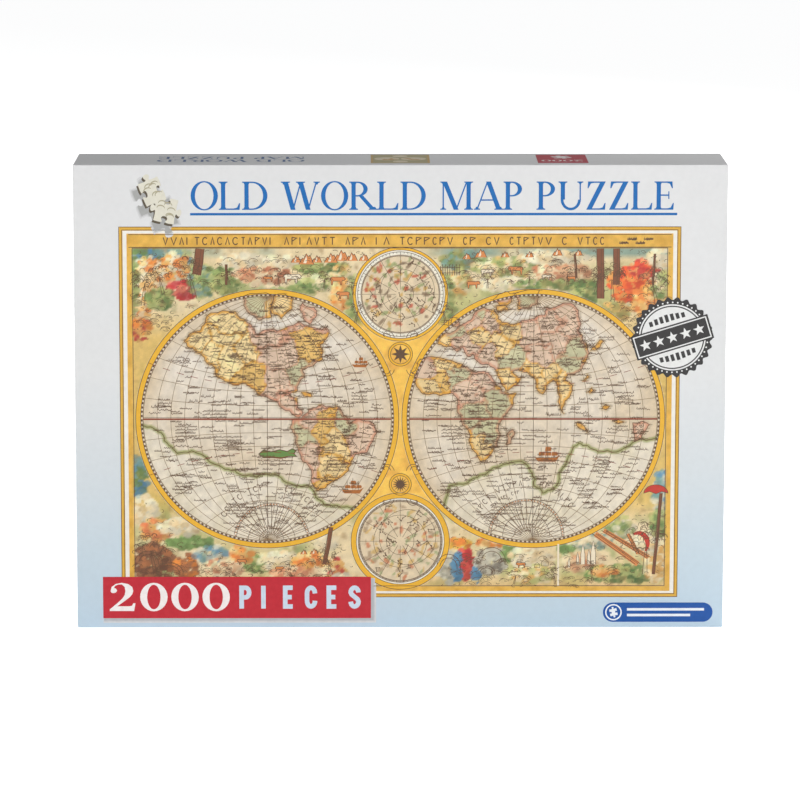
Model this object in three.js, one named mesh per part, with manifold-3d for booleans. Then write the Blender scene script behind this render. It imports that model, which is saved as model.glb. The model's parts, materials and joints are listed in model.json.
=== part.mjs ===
// Boxed jigsaw puzzle: a full-depth lid over a tray, with the jigsaw pieces in a film bag and a
// leaflet. Millimetres, +Z up. The box stands on a long edge with the lid's panel facing -Y, and
// the origin is the middle of its foot.
import * as THREE from "three";
import { mergeVertices } from "three/addons/utils/BufferGeometryUtils.js";
import Module from "manifold-3d";

const wasm = await Module();
wasm.setup();

// The closed box, outside
const boxWidth = 375;
const boxHeight = 271;
const boxDepth = 55;

// Board, paper and fits
const lidBoard = 1.5;
const trayBoard = 1.5;
const wrapPaper = 0.2;
const turnIn = 15; // the wrap's strip glued inside the rim
const lidClearance = 0.6; // all round, between the lid's turned-in wrap and the tray's wrap
const rimGap = 0.3; // between the tray's rim and the lid's panel
const rimSetback = 1.5; // from the tray's back to the lid's rim
const cornerSlit = 0.3; // between a side flap's end and the long flap that it butts against
const stayLeg = 18; // corner stay, along each wall from the corner
const stayPaper = 0.2;
const stayMargin = 2.5; // from a stay's end to the rim

// The film bag and what is in it
const bagHeight = 160;
const bagSideRoom = 2.1; // from a crimped end to the tray's side wall
const bagCorner = 34; // corner radius, seen from the front
const bagEdge = 13; // rounding of the front and back edges
const film = 0.3;
const sealWidth = 12; // crimped end
const ventRadius = 3;
const ventSpacing = 120;
const ventDrop = 26; // below the bag's top
const seatGap = 0.3; // between a thing and what it lies on

// One jigsaw piece, before its tabs
const piecePitch = 18.3;
const pieceThickness = 2;
const tabHeight = 4.6;
const pieceColumns = 8;
const pieceRows = 3;
const pieceScatter = 5; // how far a loose piece lies off its row and column

// The leaflet, folded once at its foot
const leafletWidth = 148;
const leafletHeight = 105;
const leafletPaper = 0.3;
const leafletFold = 1.2; // thickness of the folded leaflet
const contentsPlay = 3.8; // from the leaflet to the lid's panel

// ---- solids -------------------------------------------------------------------------------

function solidOf(geometry) {
  for (const name of ["normal", "uv"]) geometry.deleteAttribute(name);
  const merged = mergeVertices(geometry, 1e-4);
  return new wasm.Manifold(
    new wasm.Mesh({
      numProp: 3,
      vertProperties: new Float32Array(merged.attributes.position.array),
      triVerts: new Uint32Array(merged.index.array),
    }),
  );
}

function geometryOf(solid) {
  const { vertProperties, triVerts } = solid.getMesh();
  const geometry = new THREE.BufferGeometry();
  geometry.setAttribute("position", new THREE.BufferAttribute(vertProperties, 3));
  geometry.setIndex(new THREE.BufferAttribute(triVerts, 1));
  geometry.computeVertexNormals();
  return geometry;
}

// A block between two values on each axis, whose corners are exactly those values.
function block(...spans) {
  const geometry = new THREE.BoxGeometry(1, 1, 1);
  const positions = geometry.attributes.position;
  const ends = spans.map((span) => [Math.min(...span), Math.max(...span)]);
  for (let i = 0; i < positions.count; i++) {
    ends.forEach(([low, high], axis) => {
      positions.setComponent(i, axis, positions.getComponent(i, axis) < 0 ? low : high);
    });
  }
  return solidOf(geometry);
}

// A block with the corners of its front outline rounded, and its front and back edges too.
function pillow({ halfWidth, low, high, back, front, corner, edge }) {
  const right = halfWidth - edge;
  const bottom = low + edge;
  const top = high - edge;
  const radius = corner - edge;
  const outline = new THREE.Shape();
  outline.absarc(right - radius, bottom + radius, radius, -Math.PI / 2, 0);
  outline.absarc(right - radius, top - radius, radius, 0, Math.PI / 2);
  outline.absarc(-right + radius, top - radius, radius, Math.PI / 2, Math.PI);
  outline.absarc(-right + radius, bottom + radius, radius, Math.PI, Math.PI * 1.5);
  const geometry = new THREE.ExtrudeGeometry(outline, {
    depth: back - front - 2 * edge,
    bevelThickness: edge,
    bevelSize: edge,
    bevelSegments: 4,
    curveSegments: 7,
  });
  geometry.rotateX(Math.PI / 2).translate(0, back - edge, 0);
  return solidOf(geometry);
}

// ---- the part -----------------------------------------------------------------------------

const part = new THREE.Group();
part.name = "boxed_jigsaw_puzzle";

const paint = (color, roughness) =>
  new THREE.MeshStandardMaterial({ color, roughness, metalness: 0 });
const printedPaper = paint(0xdfe4e8, 0.4);
const trayPaper = paint(0x2f62a0, 0.55);
const greyboard = paint(0x9a948a, 0.9);
const kraftPaper = paint(0xb08a5c, 0.85);
const clearFilm = paint(0xe8eef2, 0.15);
const printedPiece = paint(0xd9c48a, 0.45);
const leafletWhite = paint(0xf2f2ee, 0.6);

function add(name, solid, material) {
  const mesh = new THREE.Mesh(geometryOf(solid), material);
  mesh.name = name;
  part.add(mesh);
  return mesh;
}

// One half of the box: greyboard folded into a shallow tray, four stays over its corners, and
// the wrap round it. panelY is the outside of its panel and rimY the outside of its rim.
function addBoxHalf({ name, halfWidth, low, high, panelY, rimY, board, wrapMaterial }) {
  const inward = Math.sign(rimY - panelY);
  const beyondRim = rimY + inward;
  const inset = (by, ...depth) =>
    block([-halfWidth + by, halfWidth - by], depth, [low + by, high - by]);
  const boardPanelY = panelY + inward * wrapPaper;
  const boardRimY = rimY - inward * wrapPaper;
  const hollowY = boardPanelY + inward * board;
  const hollowInset = wrapPaper + board;

  let boardSolid = inset(wrapPaper, boardPanelY, boardRimY).subtract(
    inset(hollowInset, hollowY, beyondRim),
  );
  let stayNumber = 0;
  for (const side of [-1, 1]) {
    for (const [edge, up] of [[low, 1], [high, -1]]) {
      const outerX = side * (halfWidth - wrapPaper);
      const outerZ = edge + up * wrapPaper;
      const flapZ = outerZ + up * board;
      const slit = block(
        [outerX - side * (board + 1), outerX + side],
        [hollowY, beyondRim],
        [flapZ, flapZ + up * cornerSlit],
      );
      const stayDepth = [hollowY, boardRimY - inward * stayMargin];
      const stay = block(
        [outerX, outerX - side * stayLeg], stayDepth, [outerZ, outerZ + up * stayPaper],
      ).add(block(
        [outerX, outerX - side * stayPaper], stayDepth, [outerZ, outerZ + up * stayLeg],
      ));
      boardSolid = boardSolid.subtract(slit).subtract(stay);
      stayNumber += 1;
      add(`${name}_corner_stay_${stayNumber}`, stay, kraftPaper);
    }
  }
  add(`${name}_board`, boardSolid, greyboard);

  // The wrap, divided along its folds into the sheet on the panel and a flap on each wall.
  const mouthInset = hollowInset + wrapPaper;
  const turnedIn = inset(hollowInset, rimY - inward * turnIn, rimY);
  const wrap = inset(0, panelY, rimY)
    .subtract(inset(wrapPaper, boardPanelY, boardRimY))
    .add(turnedIn)
    .subtract(inset(mouthInset, rimY - inward * (turnIn + 1), beyondRim));
  const wide = [-halfWidth - 1, halfWidth + 1];
  const walls = [boardPanelY, beyondRim];
  const between = [low + mouthInset, high - mouthInset];
  const folds = {
    panel: block(wide, [panelY - inward, boardPanelY], [low - 1, high + 1]),
    foot: block(wide, walls, [low - 1, between[0]]),
    top: block(wide, walls, [between[1], high + 1]),
    left: block([wide[0], mouthInset - halfWidth], walls, between),
    right: block([halfWidth - mouthInset, wide[1]], walls, between),
  };
  for (const [fold, region] of Object.entries(folds)) {
    add(`${name}_wrap_${fold}`, wrap.intersect(region), wrapMaterial);
  }
  return { hollowY, mouthHalfWidth: halfWidth - mouthInset, floor: low + mouthInset };
}

const backY = boxDepth / 2;
const lid = addBoxHalf({
  name: "lid",
  halfWidth: boxWidth / 2,
  low: 0,
  high: boxHeight,
  panelY: -backY,
  rimY: backY - rimSetback,
  board: lidBoard,
  wrapMaterial: printedPaper,
});
const trayInset = lid.floor + lidClearance;
const tray = addBoxHalf({
  name: "tray",
  halfWidth: boxWidth / 2 - trayInset,
  low: trayInset,
  high: boxHeight - trayInset,
  panelY: backY,
  rimY: lid.hollowY + rimGap,
  board: trayBoard,
  wrapMaterial: trayPaper,
});

// The leaflet stands on the tray's lower wall in front of the bag, which fills the depth behind.
const contentsFoot = tray.floor + seatGap;
const leafletFront = lid.hollowY + contentsPlay;
const leafletBack = leafletFront + leafletFold;
const bagFront = leafletBack + seatGap;
const bagBack = tray.hollowY - seatGap;
const bagHalfWidth = tray.mouthHalfWidth - bagSideRoom - sealWidth;
const bagLayer = (by, frontBy = by) =>
  pillow({
    halfWidth: bagHalfWidth - by,
    low: contentsFoot + by,
    high: contentsFoot + bagHeight - by,
    back: bagBack - by,
    front: bagFront + frontBy,
    corner: bagCorner - by,
    edge: bagEdge - by,
  });

function addBag() {
  const middleY = (bagFront + bagBack) / 2;
  const sealZ = [contentsFoot + bagCorner, contentsFoot + bagHeight - bagCorner];
  let bag = bagLayer(0);
  for (const side of [-1, 1]) {
    const sealX = [side * (bagHalfWidth - film / 2), side * (bagHalfWidth + sealWidth)];
    bag = bag.add(block(sealX, [middleY - film, middleY + film], sealZ));
  }
  bag = bag.subtract(bagLayer(film));
  for (const side of [-1, 1]) {
    const vent = new THREE.CylinderGeometry(ventRadius, ventRadius, bagEdge, 12);
    const ventZ = contentsFoot + bagHeight - ventDrop;
    vent.translate((side * ventSpacing) / 2, bagFront, ventZ);
    bag = bag.subtract(solidOf(vent));
  }
  add("piece_bag", bag, clearFilm);
}
addBag();

const heapInset = film + seatGap;
const layFlat = heapInset + pieceThickness + seatGap; // room for the pieces lying on the heap
add("piece_heap", bagLayer(heapInset, layFlat), printedPiece);

// A small repeatable random number generator, from 0 to 1.
let randomState = 20;
function random() {
  randomState = (randomState * 16807) % 2147483647;
  return randomState / 2147483647;
}

// Adds one side of a jigsaw piece: a tab where bump is 1 and a socket where it is -1.
function addSide(shape, from, to, bump) {
  const along = to.clone().sub(from);
  const out = new THREE.Vector2(along.y, -along.x).normalize().multiplyScalar(tabHeight * bump);
  const at = (t, height) => from.clone().addScaledVector(along, t).addScaledVector(out, height);
  const curve = (...points) => shape.bezierCurveTo(...points.flatMap((p) => [p.x, p.y]));
  curve(at(0.2, -0.1), at(0.48, -0.16), at(0.41, 0.2));
  curve(at(0.3, 0.62), at(0.36, 1), at(0.5, 1));
  curve(at(0.64, 1), at(0.7, 0.62), at(0.59, 0.2));
  curve(at(0.52, -0.16), at(0.8, -0.1), to);
}

function jigsawPiece() {
  const half = piecePitch / 2;
  const corners = [[-half, -half], [half, -half], [half, half], [-half, half]]
    .map(([x, z]) => new THREE.Vector2(x, z));
  const shape = new THREE.Shape();
  shape.moveTo(corners[0].x, corners[0].y);
  corners.forEach((corner, i) => {
    addSide(shape, corner, corners[(i + 1) % 4], random() < 0.5 ? -1 : 1);
  });
  const geometry = new THREE.ExtrudeGeometry(shape, {
    depth: pieceThickness,
    bevelEnabled: false,
    curveSegments: 3,
  });
  geometry.rotateX(Math.PI / 2);
  return solidOf(geometry);
}

// The loose pieces lie flat on the heap in scattered rows, between the bag's rounded edges.
const pieceBack = bagFront + layFlat - seatGap;
const columnSpacing = (2 * (bagHalfWidth - bagEdge)) / pieceColumns;
const rowSpacing = (bagHeight - 2 * bagEdge) / pieceRows;
const scatter = () => (random() - 0.5) * pieceScatter;
for (let row = 0; row < pieceRows; row++) {
  for (let column = 0; column < pieceColumns; column++) {
    const number = String(row * pieceColumns + column + 1).padStart(2, "0");
    const mesh = add(`jigsaw_piece_${number}`, jigsawPiece(), printedPiece);
    mesh.position.set(
      (column - (pieceColumns - 1) / 2) * columnSpacing + scatter(),
      pieceBack,
      contentsFoot + bagHeight / 2 + (row - (pieceRows - 1) / 2) * rowSpacing + scatter(),
    );
    mesh.rotation.y = random() * Math.PI * 2;
  }
}

function addLeaflet() {
  const width = [-leafletWidth / 2, leafletWidth / 2];
  const height = [contentsFoot, contentsFoot + leafletHeight];
  const fold = [contentsFoot, contentsFoot + leafletPaper];
  const leaves = block(width, [leafletBack, leafletBack - leafletPaper], height)
    .add(block(width, [leafletFront, leafletFront + leafletPaper], height))
    .add(block(width, [leafletBack, leafletFront], fold));
  add("leaflet", leaves, leafletWhite);
}
addLeaflet();

export default part;
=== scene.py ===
import json
import math
import random

import bmesh
import bpy
import numpy as np
from mathutils import Matrix, Vector
from mathutils.geometry import tessellate_polygon


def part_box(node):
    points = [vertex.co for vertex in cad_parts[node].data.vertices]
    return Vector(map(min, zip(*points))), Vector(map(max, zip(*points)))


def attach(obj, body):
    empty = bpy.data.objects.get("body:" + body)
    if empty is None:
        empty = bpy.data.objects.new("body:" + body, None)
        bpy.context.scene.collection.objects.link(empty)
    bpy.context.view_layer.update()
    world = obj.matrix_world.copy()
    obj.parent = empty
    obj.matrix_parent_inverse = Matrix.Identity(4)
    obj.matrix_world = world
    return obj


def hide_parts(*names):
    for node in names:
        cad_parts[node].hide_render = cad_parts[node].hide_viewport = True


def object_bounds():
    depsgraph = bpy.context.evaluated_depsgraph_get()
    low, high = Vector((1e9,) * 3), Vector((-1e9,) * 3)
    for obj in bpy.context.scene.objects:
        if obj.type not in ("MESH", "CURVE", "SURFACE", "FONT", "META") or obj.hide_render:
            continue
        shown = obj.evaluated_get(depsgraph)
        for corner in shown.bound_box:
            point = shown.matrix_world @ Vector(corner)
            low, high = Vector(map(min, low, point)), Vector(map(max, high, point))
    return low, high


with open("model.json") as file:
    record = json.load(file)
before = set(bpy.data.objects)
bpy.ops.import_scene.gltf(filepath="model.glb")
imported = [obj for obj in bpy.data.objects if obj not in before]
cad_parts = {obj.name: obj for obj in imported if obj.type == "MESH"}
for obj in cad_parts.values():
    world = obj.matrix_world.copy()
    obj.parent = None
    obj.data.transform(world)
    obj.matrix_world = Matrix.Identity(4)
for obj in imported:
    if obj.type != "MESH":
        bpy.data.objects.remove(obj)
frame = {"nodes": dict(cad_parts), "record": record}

CAD_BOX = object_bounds()
MM = 0.001
TAU = 2 * math.pi


# ---- Materials ------------------------------------------------------------------------------

def linear(*rgb255):
    """A colour written as 0 to 255 display values, as linear light."""
    def channel(c):
        c /= 255
        return c / 12.92 if c <= 0.04045 else ((c + 0.055) / 1.055) ** 2.4
    return tuple(channel(c) for c in rgb255)


class Shader:
    """A Principled material with short ways to add and join nodes."""

    def __init__(self, name, colour, roughness, specular=0.4):
        self.material = bpy.data.materials.new(name)
        self.material.use_nodes = True
        self.tree = self.material.node_tree
        self.surface = self.tree.nodes["Principled BSDF"]
        self.set("Base Color", (*colour, 1))
        self.set("Roughness", roughness)
        self.set("Specular IOR Level", specular)
        self.material.diffuse_color = (*colour, 1)

    def set(self, socket, value):
        self.surface.inputs[socket].default_value = value

    def node(self, kind, inputs=(), **settings):
        made = self.tree.nodes.new(kind)
        for key, value in settings.items():
            setattr(made, key, value)
        for socket, value in dict(inputs).items():
            target = made.inputs[socket]
            if isinstance(value, bpy.types.NodeSocket):
                self.tree.links.new(value, target)
            else:
                target.default_value = value
        return made

    def link(self, output, socket):
        self.tree.links.new(output, self.surface.inputs[socket])

    def position(self):
        return self.node("ShaderNodeTexCoord").outputs["Object"]

    def noise(self, scale, detail=3.0, roughness=0.5, stretch=None):
        place = self.position()
        if stretch:
            place = self.node("ShaderNodeMapping", {"Vector": place, "Scale": stretch}).outputs[0]
        made = self.node("ShaderNodeTexNoise",
                         {"Vector": place, "Scale": scale, "Detail": detail, "Roughness": roughness})
        return made.outputs["Fac"]

    def ramp(self, value, *stops):
        made = self.node("ShaderNodeValToRGB", {"Fac": value})
        elements = made.color_ramp.elements
        while len(elements) < len(stops):
            elements.new(0.5)
        for element, (place, colour) in zip(elements, stops):
            element.position = place
            element.color = (*colour, 1)
        return made.outputs["Color"]

    def math(self, operation, a, b=0.0, clamp=False):
        return self.node("ShaderNodeMath", {0: a, 1: b}, operation=operation, use_clamp=clamp).outputs[0]

    def range(self, value, low, high, to_low, to_high):
        return self.node("ShaderNodeMapRange", {0: value, 1: low, 2: high, 3: to_low, 4: to_high}).outputs[0]

    def mix(self, factor, a, b, blend="MIX"):
        made = self.node("ShaderNodeMix", data_type="RGBA", blend_type=blend)
        for socket, value in ((0, factor), (6, a), (7, b)):
            if isinstance(value, bpy.types.NodeSocket):
                self.tree.links.new(value, made.inputs[socket])
            elif socket == 0:
                made.inputs[socket].default_value = value
            else:
                made.inputs[socket].default_value = (*value[:3], 1)
        return made.outputs[2]

    def bump(self, height, strength, distance):
        made = self.node("ShaderNodeBump", {"Height": height, "Strength": strength, "Distance": distance})
        self.link(made.outputs["Normal"], "Normal")

    def paper_tooth(self, roughness, spread=0.05):
        """Uneven gloss and the fine bumps of coated paper."""
        self.link(self.range(self.noise(60), 0.3, 0.7, roughness - spread, roughness + spread), "Roughness")
        self.bump(self.noise(900, 2), 0.12, 0.05 * MM)


def printed(name, colour, roughness=0.42, grain=0.04):
    """Ink on coated paper: an even colour with the faint mottle and tooth of offset printing."""
    shader = Shader(name, colour, roughness)
    darker = tuple(c * (1 - grain) for c in colour)
    lighter = tuple(min(1, c * (1 + grain) + 0.004) for c in colour)
    mottle = shader.noise(420, 4)
    shader.link(shader.ramp(mottle, (0.3, darker), (0.7, lighter)), "Base Color")
    shader.paper_tooth(roughness)
    return shader.material


def painted(name, roughness=0.42):
    """The coloured picture: each point's own colour, under fine halftone mottle and paper tooth."""
    shader = Shader(name, (0.8, 0.7, 0.5), roughness)
    colour = shader.node("ShaderNodeVertexColor", layer_name="print").outputs["Color"]
    speckle = shader.ramp(shader.noise(1500, 2), (0.25, (0.84, 0.84, 0.84)), (0.75, (1, 1, 1)))
    shader.link(shader.mix(0.6, colour, speckle, "MULTIPLY"), "Base Color")
    shader.paper_tooth(roughness)
    return shader.material


# ---- Camera, light and floor ----------------------------------------------------------------

def make_camera():
    data = bpy.data.cameras.new("camera")
    data.lens = 188.0
    data.shift_x = 0.0284
    data.shift_y = -0.1
    data.clip_end = 50
    camera = bpy.data.objects.new("camera", data)
    camera.location = (-0.0218, -2.40, 0.559)
    camera.rotation_euler = (math.radians(90 - 9.05), 0, math.radians(-0.205))
    bpy.context.collection.objects.link(camera)
    bpy.context.scene.camera = camera


def add_light(name, place, target, size, energy):
    data = bpy.data.lights.new(name, "AREA")
    data.size = size
    data.energy = energy
    light = bpy.data.objects.new(name, data)
    light.location = place
    aim = Vector(target) - Vector(place)
    light.rotation_euler = aim.to_track_quat("-Z", "Y").to_euler()
    bpy.context.collection.objects.link(light)


def make_stage():
    scene = bpy.context.scene
    scene.view_settings.view_transform = "Standard"
    scene.render.film_transparent = False
    world = bpy.data.worlds.new("studio")
    scene.world = world
    world.use_nodes = True
    nodes, links = world.node_tree.nodes, world.node_tree.links
    light = nodes["Background"]
    light.inputs["Color"].default_value = (0.97, 0.985, 1.0, 1)
    light.inputs["Strength"].default_value = 0.2
    seen = nodes.new("ShaderNodeBackground")
    seen.inputs["Color"].default_value = (1, 1, 1, 1)
    path = nodes.new("ShaderNodeLightPath")
    choose = nodes.new("ShaderNodeMixShader")
    links.new(path.outputs["Is Camera Ray"], choose.inputs[0])
    links.new(light.outputs[0], choose.inputs[1])
    links.new(seen.outputs[0], choose.inputs[2])
    links.new(choose.outputs[0], nodes["World Output"].inputs["Surface"])

    middle = (0, 0, 0.13)
    add_light("key", (1.1, -2.6, 0.75), middle, 1.6, 30.2)
    add_light("fill", (-1.6, -1.8, 0.6), middle, 1.4, 18.5)
    add_light("back_right", (1.6, 1.7, 0.8), middle, 1.2, 58)
    add_light("back_left", (-1.4, 1.9, 0.7), middle, 1.2, 9)

    shader = Shader("pale_floor", (0.86, 0.86, 0.86), 0.75, 0.1)
    shader.set("Emission Color", (1, 1, 1, 1))
    seen_by = shader.node("ShaderNodeLightPath").outputs["Is Camera Ray"]
    shader.link(shader.range(seen_by, 0, 1, 0.3, 0.8), "Emission Strength")
    floor_mesh = bmesh.new()
    bmesh.ops.create_circle(floor_mesh, cap_ends=True, segments=96, radius=9)
    floor = new_object("floor", floor_mesh)
    floor.location.z = CAD_BOX[0][2] - 0.0003
    floor.data.materials.append(shader.material)


def new_object(name, build):
    data = bpy.data.meshes.new(name)
    build.to_mesh(data)
    build.free()
    made = bpy.data.objects.new(name, data)
    bpy.context.collection.objects.link(made)
    return made


# ---- Board and wrap -------------------------------------------------------------------------

FOLD = 0.6 * MM        # radius of the paper where it turns over the board's edges
PAPER = 0.2 * MM
BOARD = 1.5 * MM
TURN_IN = 15 * MM


def wrap_nodes(half):
    return [node for node in frame["nodes"] if node.startswith(half + "_wrap_")]


def half_box(half):
    """The lowest and highest corner of one half's printed wrap."""
    boxes = [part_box(node) for node in wrap_nodes(half)]
    return (Vector([min(box[0][i] for box in boxes) for i in range(3)]),
            Vector([max(box[1][i] for box in boxes) for i in range(3)]))


def wrap_piece(name, body, panel_side, paper):
    """A printed wrap: one sheet round the board with rounded folds, turned in over the rim.

    panel_side is -1 where the panel faces -Y and +1 where it faces +Y."""
    low, high = half_box(body)
    panel_y, rim_y = (low.y, high.y) if panel_side < 0 else (high.y, low.y)
    build = bmesh.new()
    bmesh.ops.create_cube(build, size=1)
    for vert in build.verts:
        vert.co = Vector(low[i] if vert.co[i] < 0 else high[i] for i in range(3))
    open_face = max(build.faces, key=lambda f: -panel_side * f.calc_center_median().y)
    rim_edges = set(open_face.edges)
    bmesh.ops.delete(build, geom=[open_face], context="FACES_ONLY")
    folds = [edge for edge in build.edges if edge not in rim_edges]
    bmesh.ops.bevel(build, geom=folds, offset=FOLD, segments=4, profile=0.5, affect="EDGES")
    # Round the rim, then down the inside of the walls as the turned-in strip
    inner = BOARD + 2 * PAPER
    for inset, depth in ((PAPER, 0), (inner - PAPER, 0), (inner, 0.1 * MM), (inner, TURN_IN)):
        rim = [edge for edge in build.edges if edge.is_boundary]
        grown = bmesh.ops.extrude_edge_only(build, edges=rim)["geom"]
        for vert in (v for v in grown if isinstance(v, bmesh.types.BMVert)):
            mid_x, mid_z = (low.x + high.x) / 2, (low.z + high.z) / 2
            half_x, half_z = (high.x - low.x) / 2, (high.z - low.z) / 2
            vert.co.x = mid_x + math.copysign(min(abs(vert.co.x - mid_x), half_x - inset), vert.co.x - mid_x)
            vert.co.z = mid_z + math.copysign(min(abs(vert.co.z - mid_z), half_z - inset), vert.co.z - mid_z)
            vert.co.y = rim_y + panel_side * depth
    bmesh.ops.recalc_face_normals(build, faces=build.faces)
    piece = new_object(name, build)
    piece.data.materials.append(paper)
    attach(piece, body)
    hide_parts(*wrap_nodes(body))
    smooth(piece)
    piece.data.set_sharp_from_angle(angle=math.radians(50))
    return piece


def corners(node):
    return [Vector(corner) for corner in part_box(node)]


def smooth(piece):
    for face in piece.data.polygons:
        face.use_smooth = True


def slot_of(node):
    return next(part["material_slot"] for part in frame["record"]["subparts"] if part["node"] == node)


def lid_paper():
    """Light grey at the top, turning to pale blue towards the foot."""
    shader = Shader("lid_paper", linear(226, 227, 227), 0.4)
    height = shader.node("ShaderNodeSeparateXYZ", {0: shader.position()}).outputs["Z"]
    low, high = half_box("lid")
    share = shader.range(height, low.z, high.z, 0, 1)
    colour = shader.ramp(share, (0.0, linear(194, 215, 230)), (0.16, linear(203, 219, 229)),
                         (0.34, linear(217, 224, 228)), (0.56, linear(229, 230, 230)),
                         (1.0, linear(228, 228, 228)))
    mottle = shader.ramp(shader.noise(300, 4), (0.3, (0.97, 0.97, 0.97)), (0.7, (1, 1, 1)))
    shader.link(shader.mix(1.0, colour, mottle, "MULTIPLY"), "Base Color")
    shader.link(shader.range(shader.noise(40), 0.3, 0.7, 0.36, 0.46), "Roughness")
    shader.bump(shader.noise(900, 2), 0.12, 0.05 * MM)
    return shader.material


def greyboard():
    shader = Shader("greyboard", linear(168, 162, 152), 0.9, 0.2)
    fibre = shader.noise(700, 5, 0.7, stretch=(1, 1, 0.25))
    colour = shader.ramp(fibre, (0.3, linear(140, 134, 124)), (0.55, linear(170, 164, 154)),
                         (0.8, linear(190, 184, 172)))
    shader.link(colour, "Base Color")
    shader.bump(fibre, 0.4, 0.15 * MM)
    return shader.material


def kraft():
    shader = Shader("kraft_tape", linear(176, 138, 92), 0.8, 0.25)
    fibre = shader.noise(500, 4, 0.6, stretch=(1, 0.2, 1))
    shader.link(shader.ramp(fibre, (0.3, linear(158, 120, 76)), (0.7, linear(190, 152, 106))), "Base Color")
    shader.bump(fibre, 0.2, 0.05 * MM)
    return shader.material


def finish_node(node, material):
    item = bpy.data.objects[node] if node in bpy.data.objects else frame["nodes"][node]
    item.data.materials.clear()
    item.data.materials.append(material)


# ---- Flat ink on the lid's panel --------------------------------------------------------------
# Places on the panel are millimetres from its middle: u to the right, v up.

PANEL_LOW, PANEL_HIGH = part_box("lid_wrap_panel")
LAYER = 0.02 * MM       # each print layer lies this far above the one under it


def on_panel(u, v, level):
    middle_z = (PANEL_LOW[2] + PANEL_HIGH[2]) / 2
    return (u * MM, PANEL_LOW[1] - level * LAYER, v * MM + middle_z)


def triangles_of(outline):
    """Triangles that fill a closed outline, all turning the same way."""
    faces = []
    for a, b, c in tessellate_polygon([[Vector((u, v, 0)) for u, v in outline]]):
        (ax, ay), (bx, by), (cx, cy) = outline[a], outline[b], outline[c]
        turn = (bx - ax) * (cy - ay) - (by - ay) * (cx - ax)
        if turn:
            faces.append((a, b, c) if turn > 0 else (a, c, b))
    return faces


class Ink:
    """Filled shapes and pen lines of one ink, gathered into one flat mesh."""

    def __init__(self, name, level, material, slot="printed_paper", body="lid", place=on_panel):
        self.name, self.level, self.material = name, level, material
        self.slot, self.body, self.place = slot, body, place
        self.points, self.faces, self.shapes = [], [], 0

    def add(self, points, faces):
        """Adds one shape, a hair above the last so that no two share a plane."""
        start, self.shapes = len(self.points), self.shapes + 1
        rise = self.level + 0.7 * (self.shapes % 13) / 13
        self.points += [(u, v, rise) for u, v in points]
        self.faces += [tuple(start + i for i in face) for face in faces]

    def fill(self, outline):
        """A closed outline, which may be concave."""
        area = sum(a[0] * b[1] - b[0] * a[1] for a, b in zip(outline, outline[1:] + outline[:1]))
        if area < 0:
            outline = outline[::-1]
        self.add(outline, triangles_of(outline))

    def band(self, outer, inner):
        """The strip between two closed outlines of as many points."""
        count = len(outer)
        faces = [(i, (i + 1) % count, count + (i + 1) % count, count + i) for i in range(count)]
        self.add(list(outer) + list(inner), faces)

    def ring(self, u, v, radius, width, steps=96):
        self.band(circle(u, v, radius + width / 2, steps), circle(u, v, radius - width / 2, steps))

    def stroke(self, path, width, closed=False, taper=False):
        """A pen line along the path, thinning to its ends where taper is set."""
        path = [p for i, p in enumerate(path) if i == 0 or math.dist(p, path[i - 1]) > 1e-6]
        count = len(path)
        if count < 2:
            return
        left, right = [], []
        for i, (u, v) in enumerate(path):
            here = Vector((u, v))
            before = Vector(path[i - 1]) if i or closed else None
            after = Vector(path[(i + 1) % count]) if closed or i < count - 1 else None
            into = (here - before).normalized() if before else (after - here).normalized()
            away = (after - here).normalized() if after else into
            along = (into + away).normalized() if (into + away).length > 1e-6 else into
            half = width / 2 / max(0.5, into.dot(along))
            if taper:
                half *= 0.3 + 0.7 * math.sin(math.pi * (i + 0.5) / count)
            left.append((u - along.y * half, v + along.x * half))
            right.append((u + along.y * half, v - along.x * half))
        last = count if closed else count - 1
        faces = [(count + i, count + (i + 1) % count, (i + 1) % count, i) for i in range(last)]
        self.add(left + right, faces)
        # A line that crosses itself climbs a little as it goes
        for i in range(2 * count):
            u, v, rise = self.points[i - 2 * count]
            self.points[i - 2 * count] = (u, v, rise + 0.3 * (i % count) / count)

    def make(self):
        mesh = bpy.data.meshes.new(self.name)
        mesh.from_pydata([self.place(*point) for point in self.points], [], self.faces)
        return flat_piece(self.name, mesh, self.material, self.body)


def inked(name, level, colour, roughness=0.42, **how):
    """An ink whose colour is written as 0 to 255 display values."""
    return Ink(name, level, printed(name + "_ink", linear(*colour), roughness), **how)


def polar(u, v, reach, turn):
    """The place that far from (u, v), turned by radians."""
    return u + reach * math.cos(turn), v + reach * math.sin(turn)


def anywhere(chance, u, v, radius):
    """A place at random within a circle."""
    return polar(u, v, radius * math.sqrt(chance.random()), chance.uniform(0, TAU))


def circle(u, v, radius, steps=64):
    return [polar(u, v, radius, TAU * i / steps) for i in range(steps)]


def arc(u, v, ru, rv, start, end, steps=24):
    """Points along part of an ellipse, by degrees."""
    angles = [math.radians(start + (end - start) * i / steps) for i in range(steps + 1)]
    return [(u + ru * math.cos(a), v + rv * math.sin(a)) for a in angles]


def rectangle(u0, v0, u1, v1):
    return [(u0, v0), (u1, v0), (u1, v1), (u0, v1)]


def moved(shape, u=0.0, v=0.0, scale=1.0, turn=0.0, wide=1.0):
    """A list of points scaled, turned by degrees and moved."""
    c, s = math.cos(math.radians(turn)) * scale, math.sin(math.radians(turn)) * scale
    return [(u + c * x * wide - s * y, v + s * x * wide + c * y) for x, y in shape]


# ---- Lettering ----------------------------------------------------------------------------
# Serif capitals one unit high, as lists of outlines, each with its width.

THICK, THIN, SERIF, OVERHANG = 0.15, 0.05, 0.035, 0.08


def crescent(u, v, ru, rv, side, vertical, start, end):
    """A bowl: thick at its sides and thin at its top and foot."""
    outer = arc(u, v, ru, rv, start, end, 28)
    inner = arc(u, v, ru - side, rv - vertical, start, end, 28)
    return outer + inner[::-1]


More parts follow.
